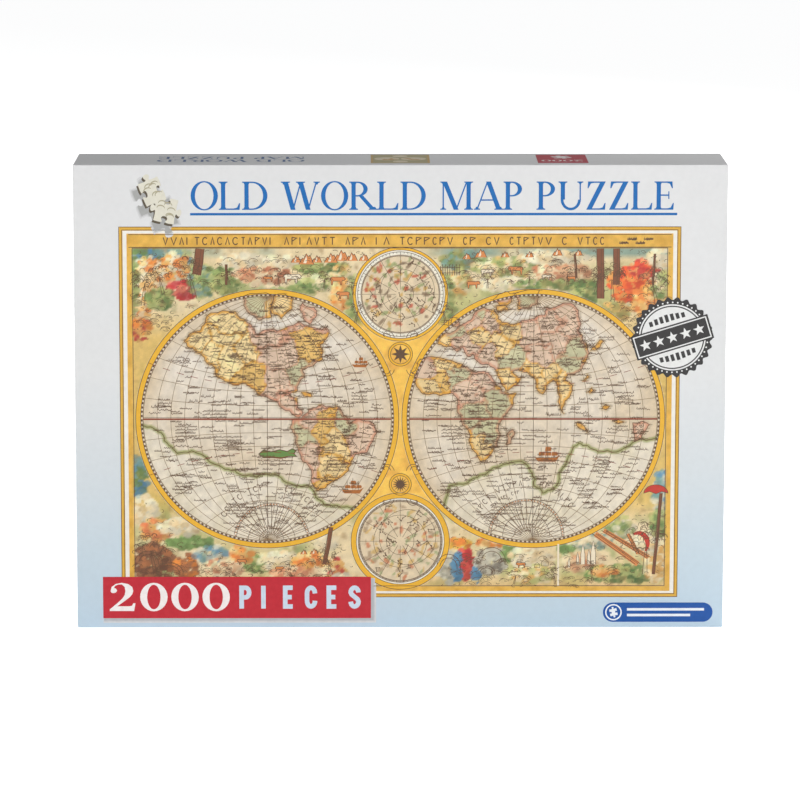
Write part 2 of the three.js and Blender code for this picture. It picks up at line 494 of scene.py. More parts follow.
def serif(u0, u1, v, up):
    """A slab with bracketed shoulders, standing on v and widening away from the stem."""
    tip = v + up * SERIF
    neck = v + up * (SERIF + 0.07)
    bend = v + up * (SERIF + 0.015)
    o = OVERHANG
    return [(u0 - o, v), (u1 + o, v), (u1 + o, tip), (u1 + 0.3 * o, bend), (u1, neck),
            (u0, neck), (u0 - 0.3 * o, bend), (u0 - o, tip)]


def stem(u, width=THICK, foot=True, head=True):
    shapes = [rectangle(u, 0, u + width, 1)]
    if foot:
        shapes.append(serif(u, u + width, 0, 1))
    if head:
        shapes.append(serif(u, u + width, 1, -1))
    return shapes


def slant(u0, u1, width, v0=0.0, v1=1.0):
    """A sloping stroke from u0 at v0 to u1 at v1."""
    return [(u0 - width / 2, v0), (u0 + width / 2, v0), (u1 + width / 2, v1), (u1 - width / 2, v1)]


def arm(u0, u1, v, up):
    """A thin arm along v that ends in a beak pointing up or down."""
    return [[(u0, v), (u1, v), (u1 + 0.02, v + up * 0.24), (u1 - 0.015, v + up * 0.24),
             (u1 - 0.09, v + up * (THIN + 0.03)), (u1 - 0.2, v + up * THIN), (u0, v + up * THIN)]]


def glyphs():
    middle_arm = [[(0.2, 0.49), (0.5, 0.49), (0.5, 0.38), (0.54, 0.38), (0.54, 0.65), (0.5, 0.65),
                   (0.5, 0.54), (0.2, 0.54)]]
    bowl = [crescent(0.3, 0.735, 0.36, 0.265, THICK, THIN, -90, 90),
            rectangle(0.2, 1 - THIN, 0.3, 1), rectangle(0.2, 0.47, 0.3, 0.47 + THIN)]
    return {
        "W": ([slant(0.4, 0.13, 0.17), slant(0.4, 0.66, THIN, 0, 0.95), slant(0.93, 0.66, 0.17),
               slant(0.93, 1.22, THIN), serif(0.05, 0.21, 1, -1), serif(0.58, 0.74, 1, -1),
               serif(1.2, 1.26, 1, -1)], 1.36),
        "O": ([crescent(0.5, 0.5, 0.48, 0.52, 0.155, 0.045, 0, 360)], 1.0),
        "R": (stem(0.09) + bowl + [slant(0.86, 0.42, 0.17, 0, 0.5), serif(0.78, 0.93, 0, 1)], 0.98),
        "L": (stem(0.09) + arm(0.2, 0.74, 0, 1), 0.82),
        "D": (stem(0.09) + [crescent(0.36, 0.5, 0.54, 0.5, 0.155, 0.05, -90, 90),
                            rectangle(0.2, 1 - THIN, 0.37, 1), rectangle(0.2, 0, 0.37, THIN)], 0.98),
        "M": (stem(0.09, THIN) + stem(0.93) + [slant(0.57, 0.16, 0.17), slant(0.57, 0.94, THIN)], 1.2),
        "A": ([slant(0.1, 0.47, THIN), slant(0.87, 0.5, 0.17, 0, 1.0), rectangle(0.22, 0.32, 0.74, 0.37),
               serif(0.07, 0.13, 0, 1), serif(0.79, 0.95, 0, 1)], 1.02),
        "P": (stem(0.09) + bowl, 0.74),
        "U": ([rectangle(0.12, 0.36, 0.27, 1), rectangle(0.78, 0.36, 0.83, 1), serif(0.12, 0.27, 1, -1),
               serif(0.78, 0.83, 1, -1), crescent(0.475, 0.36, 0.355, 0.38, 0.1, 0.09, 180, 360)], 0.98),
        "Z": (moved_all(arm(0.12, 0.7, 0, 1) + [[(0.1, 0.95), (0.68, 0.95), (0.68, 1), (0.1, 1)],
              [(0.1, 1), (0.08, 0.76), (0.115, 0.76), (0.2, 0.93), (0.3, 0.95)]]) +
              [[(0.04, 0), (0.22, 0), (0.72, 1), (0.54, 1)]], 0.8),
        "E": (stem(0.09) + arm(0.2, 0.68, 0, 1) + arm(0.2, 0.64, 1, -1) + middle_arm, 0.82),
    }


def moved_all(shapes, **how):
    return [moved(shape, **how) for shape in shapes]


def write_title(ink, text, left, right, base, height):
    """Sets the words between two margins, with the spare room shared between the letters."""
    letters, space = glyphs(), 0.42
    natural = sum(letters[c][1] if c != " " else space for c in text)
    gap = ((right - left) / height - natural) / (len(text) - 1)
    place = left
    for c in text:
        shapes, width = letters.get(c, ([], space))
        for shape in shapes:
            ink.fill(moved(shape, u=place, v=base, scale=height))
        place += (width + gap) * height


def plain_capitals():
    """Condensed capitals one unit high and about half wide, as pen paths."""
    return {
        "P": [[(0.1, 0), (0.1, 0.91), (0.26, 0.91)] + arc(0.27, 0.7, 0.15, 0.21, 90, -90, 8)
              + [(0.26, 0.49), (0.1, 0.49)]],
        "I": [[(0.1, 0), (0.1, 1)]],
        "E": [[(0.42, 0.09), (0.1, 0.09), (0.1, 0.91), (0.42, 0.91)], [(0.1, 0.5), (0.38, 0.5)]],
        "C": [arc(0.27, 0.66, 0.17, 0.25, 0, 180, 10) + arc(0.27, 0.34, 0.17, 0.25, 180, 360, 10)],
        "S": [arc(0.27, 0.7, 0.165, 0.21, 0, 180, 10) + [(0.14, 0.62), (0.4, 0.4)]
              + arc(0.27, 0.3, 0.165, 0.21, 0, -180, 10)],
    }


def write_plain(ink, text, left, right, base, height, weight):
    paths = plain_capitals()
    step = (right - left) / len(text)
    for i, c in enumerate(text):
        for path in paths[c]:
            ink.stroke(moved(path, u=left + i * step, v=base, scale=height), weight)


def numeral(c):
    """Bold numerals one unit high."""
    if c == "0":
        return [crescent(0.42, 0.5, 0.4, 0.51, 0.205, 0.07, 0, 360)], 0.86
    return [[(0.07, 0.72), (0.10, 0.86), (0.22, 0.97), (0.40, 1.01), (0.58, 0.97), (0.70, 0.86), (0.73, 0.72),
             (0.70, 0.60), (0.62, 0.49), (0.46, 0.34), (0.26, 0.17), (0.62, 0.17), (0.69, 0.19), (0.73, 0.28),
             (0.79, 0.28), (0.75, 0), (0.04, 0), (0.04, 0.06), (0.28, 0.30), (0.42, 0.46), (0.48, 0.58),
             (0.50, 0.72), (0.48, 0.86), (0.40, 0.95), (0.30, 0.95), (0.20, 0.90), (0.17, 0.83), (0.23, 0.80),
             (0.26, 0.73), (0.22, 0.66), (0.14, 0.64), (0.09, 0.66)]], 0.84


def tabbed(p0, p1, bump, height, steps=6):
    """The cut line between two jigsaw pieces, with its tab to one side."""
    (u0, v0), (u1, v1) = p0, p1
    du, dv = u1 - u0, v1 - v0
    size = math.hypot(du, dv)
    out = dv / size * height * bump, -du / size * height * bump

    def at(along, rise):
        return u0 + du * along + out[0] * rise, v0 + dv * along + out[1] * rise
    line = [p0]
    for ends in (((0, 0), (0.2, -0.1), (0.48, -0.16), (0.41, 0.2)),
                 ((0.41, 0.2), (0.3, 0.62), (0.36, 1), (0.5, 1)),
                 ((0.5, 1), (0.64, 1), (0.7, 0.62), (0.59, 0.2)),
                 ((0.59, 0.2), (0.52, -0.16), (0.8, -0.1), (1, 0))):
        a, b, c, d = (at(*end) for end in ends)
        for i in range(1, steps + 1):
            t = i / steps
            shares = (1 - t) ** 3, 3 * t * (1 - t) ** 2, 3 * t * t * (1 - t), t ** 3
            line.append(tuple(sum(w * p[k] for w, p in zip(shares, (a, b, c, d))) for k in (0, 1)))
    return line


def piece_outline(sides, half=0.5, tab=0.25, steps=7):
    """A jigsaw piece about the origin: each side has a tab for 1 or a socket for -1."""
    ends = rectangle(-half, -half, half, half)
    outline = []
    for side, bump in enumerate(sides):
        outline += tabbed(ends[side], ends[(side + 1) % 4], bump, tab, steps)[:-1]
    return outline


PLAIN_PIECE = piece_outline((1, -1, 1, -1))


# ---- Painting the picture -------------------------------------------------------------------

class Canvas:
    """Paint on a fine grid of points on the panel, which becomes the colours of one flat mesh."""

    def __init__(self, u0, v0, u1, v1, spacing):
        self.u, self.v = np.meshgrid(np.linspace(u0, u1, round((u1 - u0) / spacing) + 1),
                                     np.linspace(v0, v1, round((v1 - v0) / spacing) + 1))
        self.rgb = np.zeros((*self.u.shape, 3))
        self.start, self.spacing = (u0, v0), spacing

    def noise(self, size, seed, octaves=3):
        """A soft random field from 0 to 1 whose largest blots are size mm across."""
        total, weight = np.zeros(self.u.shape), 0
        for octave in range(octaves):
            x = (self.u - self.start[0]) * 2 ** octave / size
            y = (self.v - self.start[1]) * 2 ** octave / size
            i, j = y.astype(int), x.astype(int)
            grid = np.random.default_rng(seed + octave).random((i.max() + 2, j.max() + 2))
            fy, fx = (f * f * (3 - 2 * f) for f in (y - i, x - j))
            low = grid[i, j] * (1 - fx) + grid[i, j + 1] * fx
            high = grid[i + 1, j] * (1 - fx) + grid[i + 1, j + 1] * fx
            total += (low * (1 - fy) + high * fy) / 2 ** octave
            weight += 1 / 2 ** octave
        return total / weight

    def lay(self, colour, cover):
        self.rgb += (np.array(colour, float) - self.rgb) * np.clip(cover, 0, 1)[..., None]

    def distance(self, path, closed=True):
        """How far each point is from the path, less than nought inside a closed one."""
        nearest, inside = np.full(self.u.shape, np.inf), np.zeros(self.u.shape, bool)
        for (u0, v0), (u1, v1) in zip(path, path[1:] + (path[:1] if closed else [])):
            du, dv = u1 - u0, v1 - v0
            along = np.clip(((self.u - u0) * du + (self.v - v0) * dv) / max(du * du + dv * dv, 1e-9), 0, 1)
            nearest = np.minimum(nearest, (self.u - u0 - along * du) ** 2 + (self.v - v0 - along * dv) ** 2)
            if closed and dv:
                inside ^= ((v0 > self.v) != (v1 > self.v)) & (self.u < du * (self.v - v0) / dv + u0)
        nearest = np.sqrt(nearest)
        return np.where(inside, -nearest, nearest)

    def disc(self, u, v, radius, soft=0.8):
        return np.clip((radius - np.hypot(self.u - u, self.v - v)) / soft + 0.5, 0, 1)

    def dab(self, u, v, ru, rv, colour, strength=0.8, turn=0.0):
        """One soft brush mark."""
        reach = max(ru, rv)
        columns = [round((u + s * reach - self.start[0]) / self.spacing) for s in (-1, 1)]
        rows = [round((v + s * reach - self.start[1]) / self.spacing) for s in (-1, 1)]
        window = (slice(max(0, rows[0]), max(0, rows[1] + 1)),
                  slice(max(0, columns[0]), max(0, columns[1] + 1)))
        x, y = self.u[window] - u, self.v[window] - v
        c, s = math.cos(turn), math.sin(turn)
        away = ((x * c + y * s) / ru) ** 2 + ((y * c - x * s) / rv) ** 2
        cover = np.clip(2.6 * (1 - away), 0, 1)[..., None] * strength
        self.rgb[window] += (np.array(colour, float) - self.rgb[window]) * cover

    def make(self, name, level, material):
        rows, columns = self.u.shape
        points = [on_panel(u, v, level) for u, v in zip(self.u.ravel(), self.v.ravel())]
        faces = [(i * columns + j, i * columns + j + 1, (i + 1) * columns + j + 1, (i + 1) * columns + j)
                 for i in range(rows - 1) for j in range(columns - 1)]
        mesh = bpy.data.meshes.new(name)
        mesh.from_pydata(points, [], faces)
        colours = mesh.color_attributes.new("print", "FLOAT_COLOR", "POINT")
        shade = np.clip(self.rgb / 255, 0, 1).reshape(-1, 3)
        light = np.where(shade <= 0.04045, shade / 12.92, ((shade + 0.055) / 1.055) ** 2.4)
        colours.data.foreach_set("color", np.column_stack([light, np.ones(len(light))]).ravel())
        return flat_piece(name, mesh, material, "lid")


def flat_piece(name, mesh, material, body):
    """A finished print mesh, with a picture map laid straight over it."""
    mesh.materials.append(material)
    count = len(mesh.vertices)
    places = np.empty(count * 3)
    mesh.vertices.foreach_get("co", places)
    places = places.reshape(-1, 3)
    low, high = places.min(0), places.max(0)
    across, up = sorted(np.argsort(high - low)[1:])
    loops = np.empty(len(mesh.loops), int)
    mesh.loops.foreach_get("vertex_index", loops)
    picture = (places - low)[:, (across, up)] / np.maximum(high - low, 1e-9)[[across, up]]
    mesh.uv_layers.new(name="OFBake").data.foreach_set("uv", picture[loops].ravel())
    piece = bpy.data.objects.new(name, mesh)
    bpy.context.collection.objects.link(piece)
    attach(piece, body)
    return piece


# ---- The old world map ----------------------------------------------------------------------
# Land outlines are percent of a hemisphere's radius from its middle.

GLOBE_RADIUS, DISC_RADIUS, LEFT_GLOBE, RIGHT_GLOBE = 75.9, 71.6, (-76.8, -12.3), (76.8, -12.3)
SKY_CIRCLE, SEA_CIRCLE = (0, 60.6, 27.3), (0, -84.3, 28.5)
YELLOW, GOLD, PINK, GREEN = (238, 208, 146), (230, 186, 102), (224, 194, 166), (198, 194, 152)
STRAW = (250, 222, 158)
GOLD_RING, INK_BROWN = (236, 180, 52), (98, 72, 50)

NORTH_WEST_LAND = [
    (-45, 80), (-34, 83.5), (-24, 83), (-17, 77), (-11, 71), (-7, 65), (-4, 68), (8, 68), (24, 75), (32, 71),
    (45, 71), (47, 66), (40, 57), (42, 46), (35, 41), (27, 38), (28, 32), (24, 27), (23, 21.5), (17, 19),
    (10.5, 21.5), (8, 19), (23, 16), (23, 9), (27, 5), (24, 1), (17, 6.5), (8, 13), (0, 17), (-7, 19),
    (-11, 23.5), (-17, 27.6), (-23.6, 26), (-32, 29), (-38.5, 33), (-40, 40), (-47, 45), (-53.5, 51),
    (-60, 55.6), (-63, 61), (-57.6, 66.5), (-51, 68), (-46.7, 74)]
SOUTH_WEST_LAND = [
    (26, 0), (32, 8), (42, 11), (53, 9.7), (58, 3), (62, -2.6), (70.5, -0.5), (81, -4), (84, -9.4),
    (80, -17.6), (76, -25.7), (67.7, -27), (63.6, -35.3), (58, -43.5), (48.6, -49), (37.7, -55.7),
    (35, -51.6), (33.7, -43.5), (29.6, -34), (24, -25.7), (21.4, -19), (22, -13.5), (17.3, -6.7),
    (18.7, -1.2)]
WEST_ISLES = [
    [(-18, 94.5), (5, 95), (3.7, 78.7), (-5.9, 76), (-14, 81.5)],
    [(5, 95), (20.7, 93.7), (18.7, 84), (10.5, 77.4), (3.7, 81.5)],
    [(27, 89.6), (36, 86), (38, 80), (33, 73), (27.6, 78), (25, 84)],
    [(26, 21), (33, 20), (34, 17.5), (28, 18)]]
AFRICA_LAND = [
    (-88, 44), (-80, 48), (-70, 47), (-60, 44), (-50, 40), (-44, 36), (-38, 37), (-32, 33), (-29, 27),
    (-24, 21), (-18, 19), (-13, 20), (-15, 12), (-20, 4), (-26, -4), (-25, -13), (-27, -21), (-34, -30),
    (-40, -33), (-45, -25), (-49, -16), (-50, -8), (-55, 0), (-58, 8), (-58, 16), (-62, 20), (-71, 18),
    (-82, 19), (-90, 28), (-92, 36)]
NORTH_EAST_LAND = [
    (-73, 58), (-72, 64), (-64, 66), (-58, 70), (-52, 74), (-46, 80), (-38, 86), (-30, 84), (-27, 77),
    (-20, 74), (-12, 74), (-6, 76), (2, 79), (8, 80), (9, 86), (20, 88), (30, 88), (34, 68), (37, 60),
    (42, 51), (39, 43), (33, 36), (26, 34), (24, 30), (30, 26), (28, 18), (24, 14), (23, 4), (20, 10),
    (18, 24), (15, 30), (11, 27), (7, 19), (3, 22), (0, 32), (-5, 36), (-12, 38), (-16, 36), (-9, 32),
    (-14, 26), (-21, 22), (-25, 30), (-29, 38), (-34, 42), (-42, 44), (-46, 50), (-50, 48), (-54, 55),
    (-58, 52), (-62, 56), (-68, 56)]
EAST_ISLES = [
    [(-62, 78), (-58, 77), (-56, 72), (-61, 71), (-63, 74)], [(-68, 76), (-65, 76), (-65, 72), (-68, 73)],
    [(43, 53), (46, 56), (50, 61), (53, 60), (50, 55), (46, 53)],
    [(37, 30), (41, 34), (42, 32), (39, 29.5)], [(41, 21), (44, 24), (46, 22), (43, 20)],
    [(33, -5), (37, -8), (41.5, -10.6), (38, -5), (34, -2)], [(52, 8), (55, 11), (58, 10), (55, 7)],
    [(60, -1), (64, -0.4), (69, -2.5), (64, -3.5)], [(75.6, -3), (88.5, -4.5), (85, -10), (77, -16.8)],
    [(-21, -20), (-17, -19), (-14, -11), (-16, -8), (-20, -13)],
    [(-31, 92), (-22, 98), (-14, 97), (-17, 90), (-26, 87)], [(-14, 97), (4, 99), (3, 88), (-12, 84)],
    [(-29, 87), (-22, 88), (-19, 84), (-27, 82)]]
WEST_SOUTH_COAST = [
    (-97, -5.3), (-86, -7.4), (-79.4, -12), (-75, -20.3), (-68.5, -26.4), (-57.6, -24.4), (-50.8, -27),
    (-44, -33.2), (-34.5, -37.3), (-25, -39.4), (-16.8, -44), (-8.6, -44.8), (-0.4, -42.8), (10.5, -45.5),
    (20, -51), (28, -51.6), (36.4, -58.4), (41.8, -63.9), (50, -67.3), (60.9, -68), (69, -69.3)]
EAST_SOUTH_COAST = [
    (-67.4, -69.2), (-66, -61), (-63.4, -51.5), (-49.7, -49.5), (-40, -43.3), (-26.6, -37.2), (-11.6, -33),
    (-6, -34.5), (-0.7, -42), (0.7, -51.5), (7.5, -57.6), (15.7, -54.2), (19.8, -43.3), (25.9, -32.4),
    (30.7, -21.5), (34.7, -18.8), (41.6, -20.8), (49.7, -25.6), (63.4, -25.6), (74, -20), (82.4, -15.4),
    (96, -12)]
WEST_REALMS = [
    (-35, 62, STRAW), (-15, 50, STRAW), (-45, 48, STRAW), (-12, 32, GOLD), (8, 26, PINK), (20, 10, PINK),
    (8, 50, PINK), (0, 60, PINK), (32, 56, GOLD), (22, 34, GREEN), (22, -10, GREEN), (42, -5, GOLD),
    (72, -12, PINK), (50, -18, YELLOW), (31, -35, PINK), (45, -35, YELLOW), (40, -50, GOLD),
    (-10, 88, GREEN), (12, 88, YELLOW), (31, 82, PINK), (30, 19, GOLD), (-30, 76, STRAW), (-25, 44, STRAW),
    (60, -8, GREEN), (35, 4, PINK), (-52, 60, STRAW)]
EAST_REALMS = [
    (-68, 60, YELLOW), (-58, 66, GREEN), (-50, 70, PINK), (-45, 62, YELLOW), (-52, 58, PINK),
    (-40, 78, GREEN), (-33, 72, PINK), (-22, 68, YELLOW), (-26, 60, YELLOW), (0, 66, PINK),
    (12, 74, PINK), (18, 58, PINK), (5, 50, PINK), (28, 80, PINK), (30, 52, GREEN), (28, 42, GREEN),
    (-14, 45, GREEN), (-34, 48, PINK), (-17, 30, YELLOW), (0, 36, YELLOW), (6, 26, YELLOW),
    (24, 30, YELLOW), (16, 34, YELLOW), (-86, 42, PINK), (-68, 42, YELLOW), (-60, 34, GREEN),
    (-80, 24, YELLOW), (-42, 32, PINK), (-46, 8, GREEN), (-32, 14, GREEN), (-40, -22, YELLOW),
    (-30, -10, GREEN), (-61, 74, GREEN), (48, 57, YELLOW), (39, 32, GOLD), (44, 22, GOLD),
    (37, -6, YELLOW), (55, 9, GOLD), (64, -2, YELLOW), (82, -8, PINK), (-17, -14, GREEN), (-23, 92, PINK),
    (-5, 92, GREEN), (-24, 85, YELLOW), (-72, 32, GOLD), (-50, 20, PINK)]


def roughened(path, seed, amount=0.17, rounds=2, closed=True):
    """A coast: the outline with each side bent at its middle, over and over."""
    chance = random.Random(seed)
    for _ in range(rounds):
        finer = []
        for (x0, y0), (x1, y1) in zip(path, path[1:] + (path[:1] if closed else [])):
            bend = chance.uniform(-amount, amount)
            finer += [(x0, y0), ((x0 + x1) / 2 + (y1 - y0) * bend, (y0 + y1) / 2 - (x1 - x0) * bend)]
        path = finer if closed else finer + [path[-1]]
    return path


class Globe:
    """One hemisphere: its middle, its coasts in panel places and its realms."""

    def __init__(self, centre, lands, south_coast, realms, seed):
        self.centre, self.seed, self.realms = centre, seed, realms
        self.coasts = [self.placed(roughened(land, seed + i)) for i, land in enumerate(lands)]
        self.south_coast = self.placed(roughened(south_coast, seed, closed=False))

    def placed(self, shape):
        return moved(shape, *self.centre, scale=GLOBE_RADIUS / 100)

    def paint(self, canvas):
        cu, cv = self.centre
        away = np.hypot(canvas.u - cu, canvas.v - cv)
        disc = canvas.disc(cu, cv, DISC_RADIUS + 1)
        height = (canvas.v - cv) / GLOBE_RADIUS
        canvas.lay((230, 217, 196), disc)
        canvas.lay((236, 227, 214), disc * np.clip(height * 1.5, 0, 0.8))
        canvas.lay((214, 190, 152), disc * np.clip(1.1 * canvas.noise(26, self.seed) - 0.4, 0, 1))
        canvas.lay((212, 184, 142), disc * np.clip((away - DISC_RADIUS + 11) / 24, 0, 1))

        # The southern land, closed round the rim, with a green shore
        start, end = (math.degrees(math.atan2(p[1] - cv, p[0] - cu))
                      for p in (self.south_coast[-1], self.south_coast[0]))
        rim = arc(cu, cv, DISC_RADIUS, DISC_RADIUS, start % 360, end % 360, 40)
        shore = canvas.distance(self.south_coast + rim)
        mottle = canvas.noise(9, self.seed + 7)
        canvas.lay((238, 228, 208), disc * np.clip(0.5 - shore, 0, 1) * 0.85)
        canvas.lay((224, 212, 184), disc * np.clip(0.5 - shore, 0, 1) * np.clip(mottle * 2 - 0.8, 0, 1))
        coast = np.abs(canvas.distance(self.south_coast, closed=False))
        canvas.lay((140, 148, 76), disc * np.clip(1.6 - coast, 0, 1) * 0.75)

        # The lands, washed realm by realm
        land = np.minimum.reduce([canvas.distance(coast) for coast in self.coasts])
        sway = 16 * (canvas.noise(8, self.seed + 3) - 0.5), 16 * (canvas.noise(8, self.seed + 4) - 0.5)
        x = (canvas.u - cu) / GLOBE_RADIUS * 100 + sway[0]
        y = (canvas.v - cv) / GLOBE_RADIUS * 100 + sway[1]
        reach = np.array([np.hypot(x - sx, y - sy) for sx, sy, _ in self.realms])
        tints = np.array([tint for _, _, tint in self.realms], float)
        wash = tints[reach.argmin(0)]
        grain = (0.9 + 0.2 * canvas.noise(5, self.seed + 5))[..., None]
        cover = (disc * np.clip(0.5 - land, 0, 1))[..., None]
        canvas.rgb += (np.clip(wash * grain, 0, 250) - canvas.rgb) * cover * 0.92
        first, second = np.partition(reach, 1, axis=0)[:2]
        border = np.clip(1.5 - (second - first) / 1.5, 0, 1) * cover[..., 0]
        warm = (wash[..., 0] - wash[..., 2] > 70)
        canvas.lay((216, 148, 40), border * warm * 0.7)
        canvas.lay((196, 112, 78), border * ~warm * 0.45)
        edge = np.clip(1.2 - np.abs(land + 0.6), 0, 1) * disc
        canvas.lay((220, 152, 52), edge * warm * 0.85)
        canvas.lay((200, 108, 76), edge * ~warm * 0.5)
        # Shading lines along the shores, out at sea
        canvas.lay((176, 160, 128), disc * np.clip(1 - np.abs(land - 0.9) / 0.8, 0, 1) * 0.45)

    def draw_lines(self, grid, pen):
        """The ten-degree net of a globular projection, and the coasts."""
        cu, cv = self.centre
        for step in range(-8, 9):
            share = step / 9
            across = through((0, 1), (share, 0), (0, -1))
            lean = math.radians(share * 90)
            level = through((-math.cos(lean), math.sin(lean)), (0, share), (math.cos(lean), math.sin(lean)))
            for line in (across, level):
                grid.stroke(moved(line, cu, cv, DISC_RADIUS), 0.28)
        for coast in self.coasts:
            pen.stroke(coast, 0.34, closed=True)
            for u, v in coast[::2]:
                seaward = -1 if encloses(coast, u + 0.6, v) else 1
                pen.stroke([(u, v), (u + seaward * 1.7, v)], 0.2)
        pen.stroke(self.south_coast, 0.34)

    def draw_ranges(self, pen, seed, count=2400):
        """Small hill and wood marks wherever there is land."""
        chance = random.Random(seed)
        for _ in range(count):
            u, v = anywhere(chance, *self.centre, DISC_RADIUS * 0.94)
            if not any(encloses(coast, u, v) for coast in self.coasts):
                continue
            kind, size = chance.randrange(4), chance.uniform(0.6, 1.1)
            if kind == 0:
                pen.stroke([(u - size, v), (u, v + size), (u + size * 0.9, v)], 0.24)
            elif kind == 1:
                scribble(pen, u, v, chance.uniform(2, 4.5), 0.9, chance)
            elif kind == 2:
                river = [(u, v)]
                for _ in range(5):
                    river.append((river[-1][0] + chance.uniform(-0.2, 1.1),
                                  river[-1][1] + chance.uniform(-1, 1)))
                pen.stroke(river, 0.22)
            else:
                pen.stroke(arc(u, v, size * 0.5, size * 0.4, -20, 250, 6), 0.24)

    def draw_names(self, pen, seed, count=420):
        """Small written marks over land and sea, which spell nothing."""
        chance = random.Random(seed)
        for _ in range(count):
            u, v = anywhere(chance, *self.centre, DISC_RADIUS * 0.93)
            scribble(pen, u, v, chance.uniform(3, 9), chance.choice((0.9, 1.1, 1.5)), chance)
        for x, y, lines, length in ((-62, -6, 4, 12), (-40, 6, 3, 14), (40, 60, 3, 9), (-78, 12, 3, 8),
                                    (-30, -14, 5, 16), (52, -30, 5, 10), (70, 20, 4, 9), (6, -30, 3, 20),
                                    (-64, -50, 4, 10), (-20, -66, 4, 18), (40, -56, 3, 9), (88, -20, 3, 7)):
            u, v = self.placed([(x, y)])[0]
            for line in range(lines):
                if math.dist((u, v - 1.9 * line), self.centre) < DISC_RADIUS - length / 2 - 1:
                    scribble(pen, u, v - 1.9 * line, length, 1.25, chance)

    def draw_fan(self, pen, x, y, radius, dots):
        """A fan of rays with a beaded edge about the pole."""
        u, v = self.placed([(x, y)])[0]
        size = radius * GLOBE_RADIUS / 100
        for degrees in range(0, 181, 10):
            turn = math.radians(degrees)
            root, tip = polar(u, v, 3, turn), polar(u, v, size, turn)
            if math.dist(tip, self.centre) < DISC_RADIUS and math.dist(root, self.centre) < DISC_RADIUS - 1:
                pen.stroke([root, tip], 0.28)
        for reach, width in ((size, 0.3), (size - 1.5, 0.3), (size * 0.62, 0.25), (size * 0.32, 0.25)):
            path = [p for p in arc(u, v, reach, reach, 0, 180, 60) if math.dist(p, self.centre) < DISC_RADIUS]
            pen.stroke(path, width)
        for degrees in range(2, 180, 5):
            bead = polar(u, v, size - 0.75, math.radians(degrees))
            if math.dist(bead, self.centre) < DISC_RADIUS:
                dots.fill(circle(*bead, 0.42, 8))


def encloses(outline, u, v):
    inside = False
    for (u0, v0), (u1, v1) in zip(outline, outline[1:] + outline[:1]):
        if (v0 > v) != (v1 > v) and u < (u1 - u0) * (v - v0) / (v1 - v0) + u0:
            inside = not inside
    return inside


def through(a, b, c, steps=40):
    """An arc through three points, or a straight line where they are in line."""
    (ax, ay), (bx, by), (cx, cy) = a, b, c
    turn = 2 * (ax * (by - cy) + bx * (cy - ay) + cx * (ay - by))
    if abs(turn) < 1e-6:
        return [(ax + (cx - ax) * i / steps, ay + (cy - ay) * i / steps) for i in range(steps + 1)]
    squares = ax * ax + ay * ay, bx * bx + by * by, cx * cx + cy * cy
    ox = (squares[0] * (by - cy) + squares[1] * (cy - ay) + squares[2] * (ay - by)) / turn
    oy = (squares[0] * (cx - bx) + squares[1] * (ax - cx) + squares[2] * (bx - ax)) / turn
    radius = math.dist((ox, oy), a)
    start, end = math.atan2(ay - oy, ax - ox), math.atan2(cy - oy, cx - ox)
    sweep = (end - start + math.pi) % TAU - math.pi
    return [(ox + radius * math.cos(start + sweep * i / steps),
             oy + radius * math.sin(start + sweep * i / steps))
            for i in range(steps + 1)]


def scribble(pen, u, v, length, height, chance, turn=0.0):
    """A short run of hand-like loops and stems that aren't letters."""
    path, along = [], 0.0
    while along < length:
        rise = height * chance.choice((0.5, 0.5, 0.5, 1.0, -0.3))
        path += [(along, 0), (along + 0.28 * height, rise), (along + 0.45 * height, 0.05 * height)]
        along += height * chance.uniform(0.55, 0.8)
    pen.stroke(moved(path, u - length / 2, v, 1.0, turn), 0.25)


def strokes_in_row(pen, u0, u1, v, height, seed, weight=0.42, place=lambda u, v: (u, v)):
    """A row of upright and slanted marks like carved capitals, which spell nothing."""
    chance = random.Random(seed)
    u = u0
    while u < u1:
        kind, wide = chance.randrange(6), height * chance.uniform(0.45, 0.75)
        marks = ([[(0, 0), (0, 1)]], [[(0, 0), (0.5, 1), (1, 0)]], [[(0, 1), (0.5, 0), (1, 1)]],
                 [arc(0.5, 0.5, 0.5, 0.5, 40, 320, 10)], [[(0, 0), (0, 1)], [(0, 1), (1, 0.9), (0.1, 0.5)]],
                 [[(0.5, 0), (0.5, 1)], [(0, 1), (1, 1)]])[kind]
        for mark in marks:
            pen.stroke([place(u + x * wide, v + y * height) for x, y in mark], weight)
        u += wide + height * (0.45 if chance.random() > 0.16 else 1.5)


# ---- Scenes round the globes ----------------------------------------------------------------

HILL, LEAF, MOSS, OCHRE = (186, 186, 116), (112, 136, 76), (150, 146, 86), (226, 172, 96)
TEAL, HAZE, CREAM, EARTH = (118, 152, 144), (222, 212, 184), (238, 218, 176), (168, 106, 66)
ORANGE, CRIMSON, STONE, BLUE = (228, 134, 58), (188, 56, 54), (184, 176, 156), (92, 138, 168)
AUTUMN = (ORANGE, (242, 180, 100), (224, 130, 66), (234, 186, 112), (244, 206, 144))
WOODS = (LEAF, MOSS, HILL, (90, 116, 66), (170, 176, 110))
VILLAGE = ((208, 146, 106), (222, 176, 134), (190, 118, 84), CREAM, (232, 206, 166))
CREAMS = (CREAM, HAZE, (242, 228, 196), (228, 200, 150))


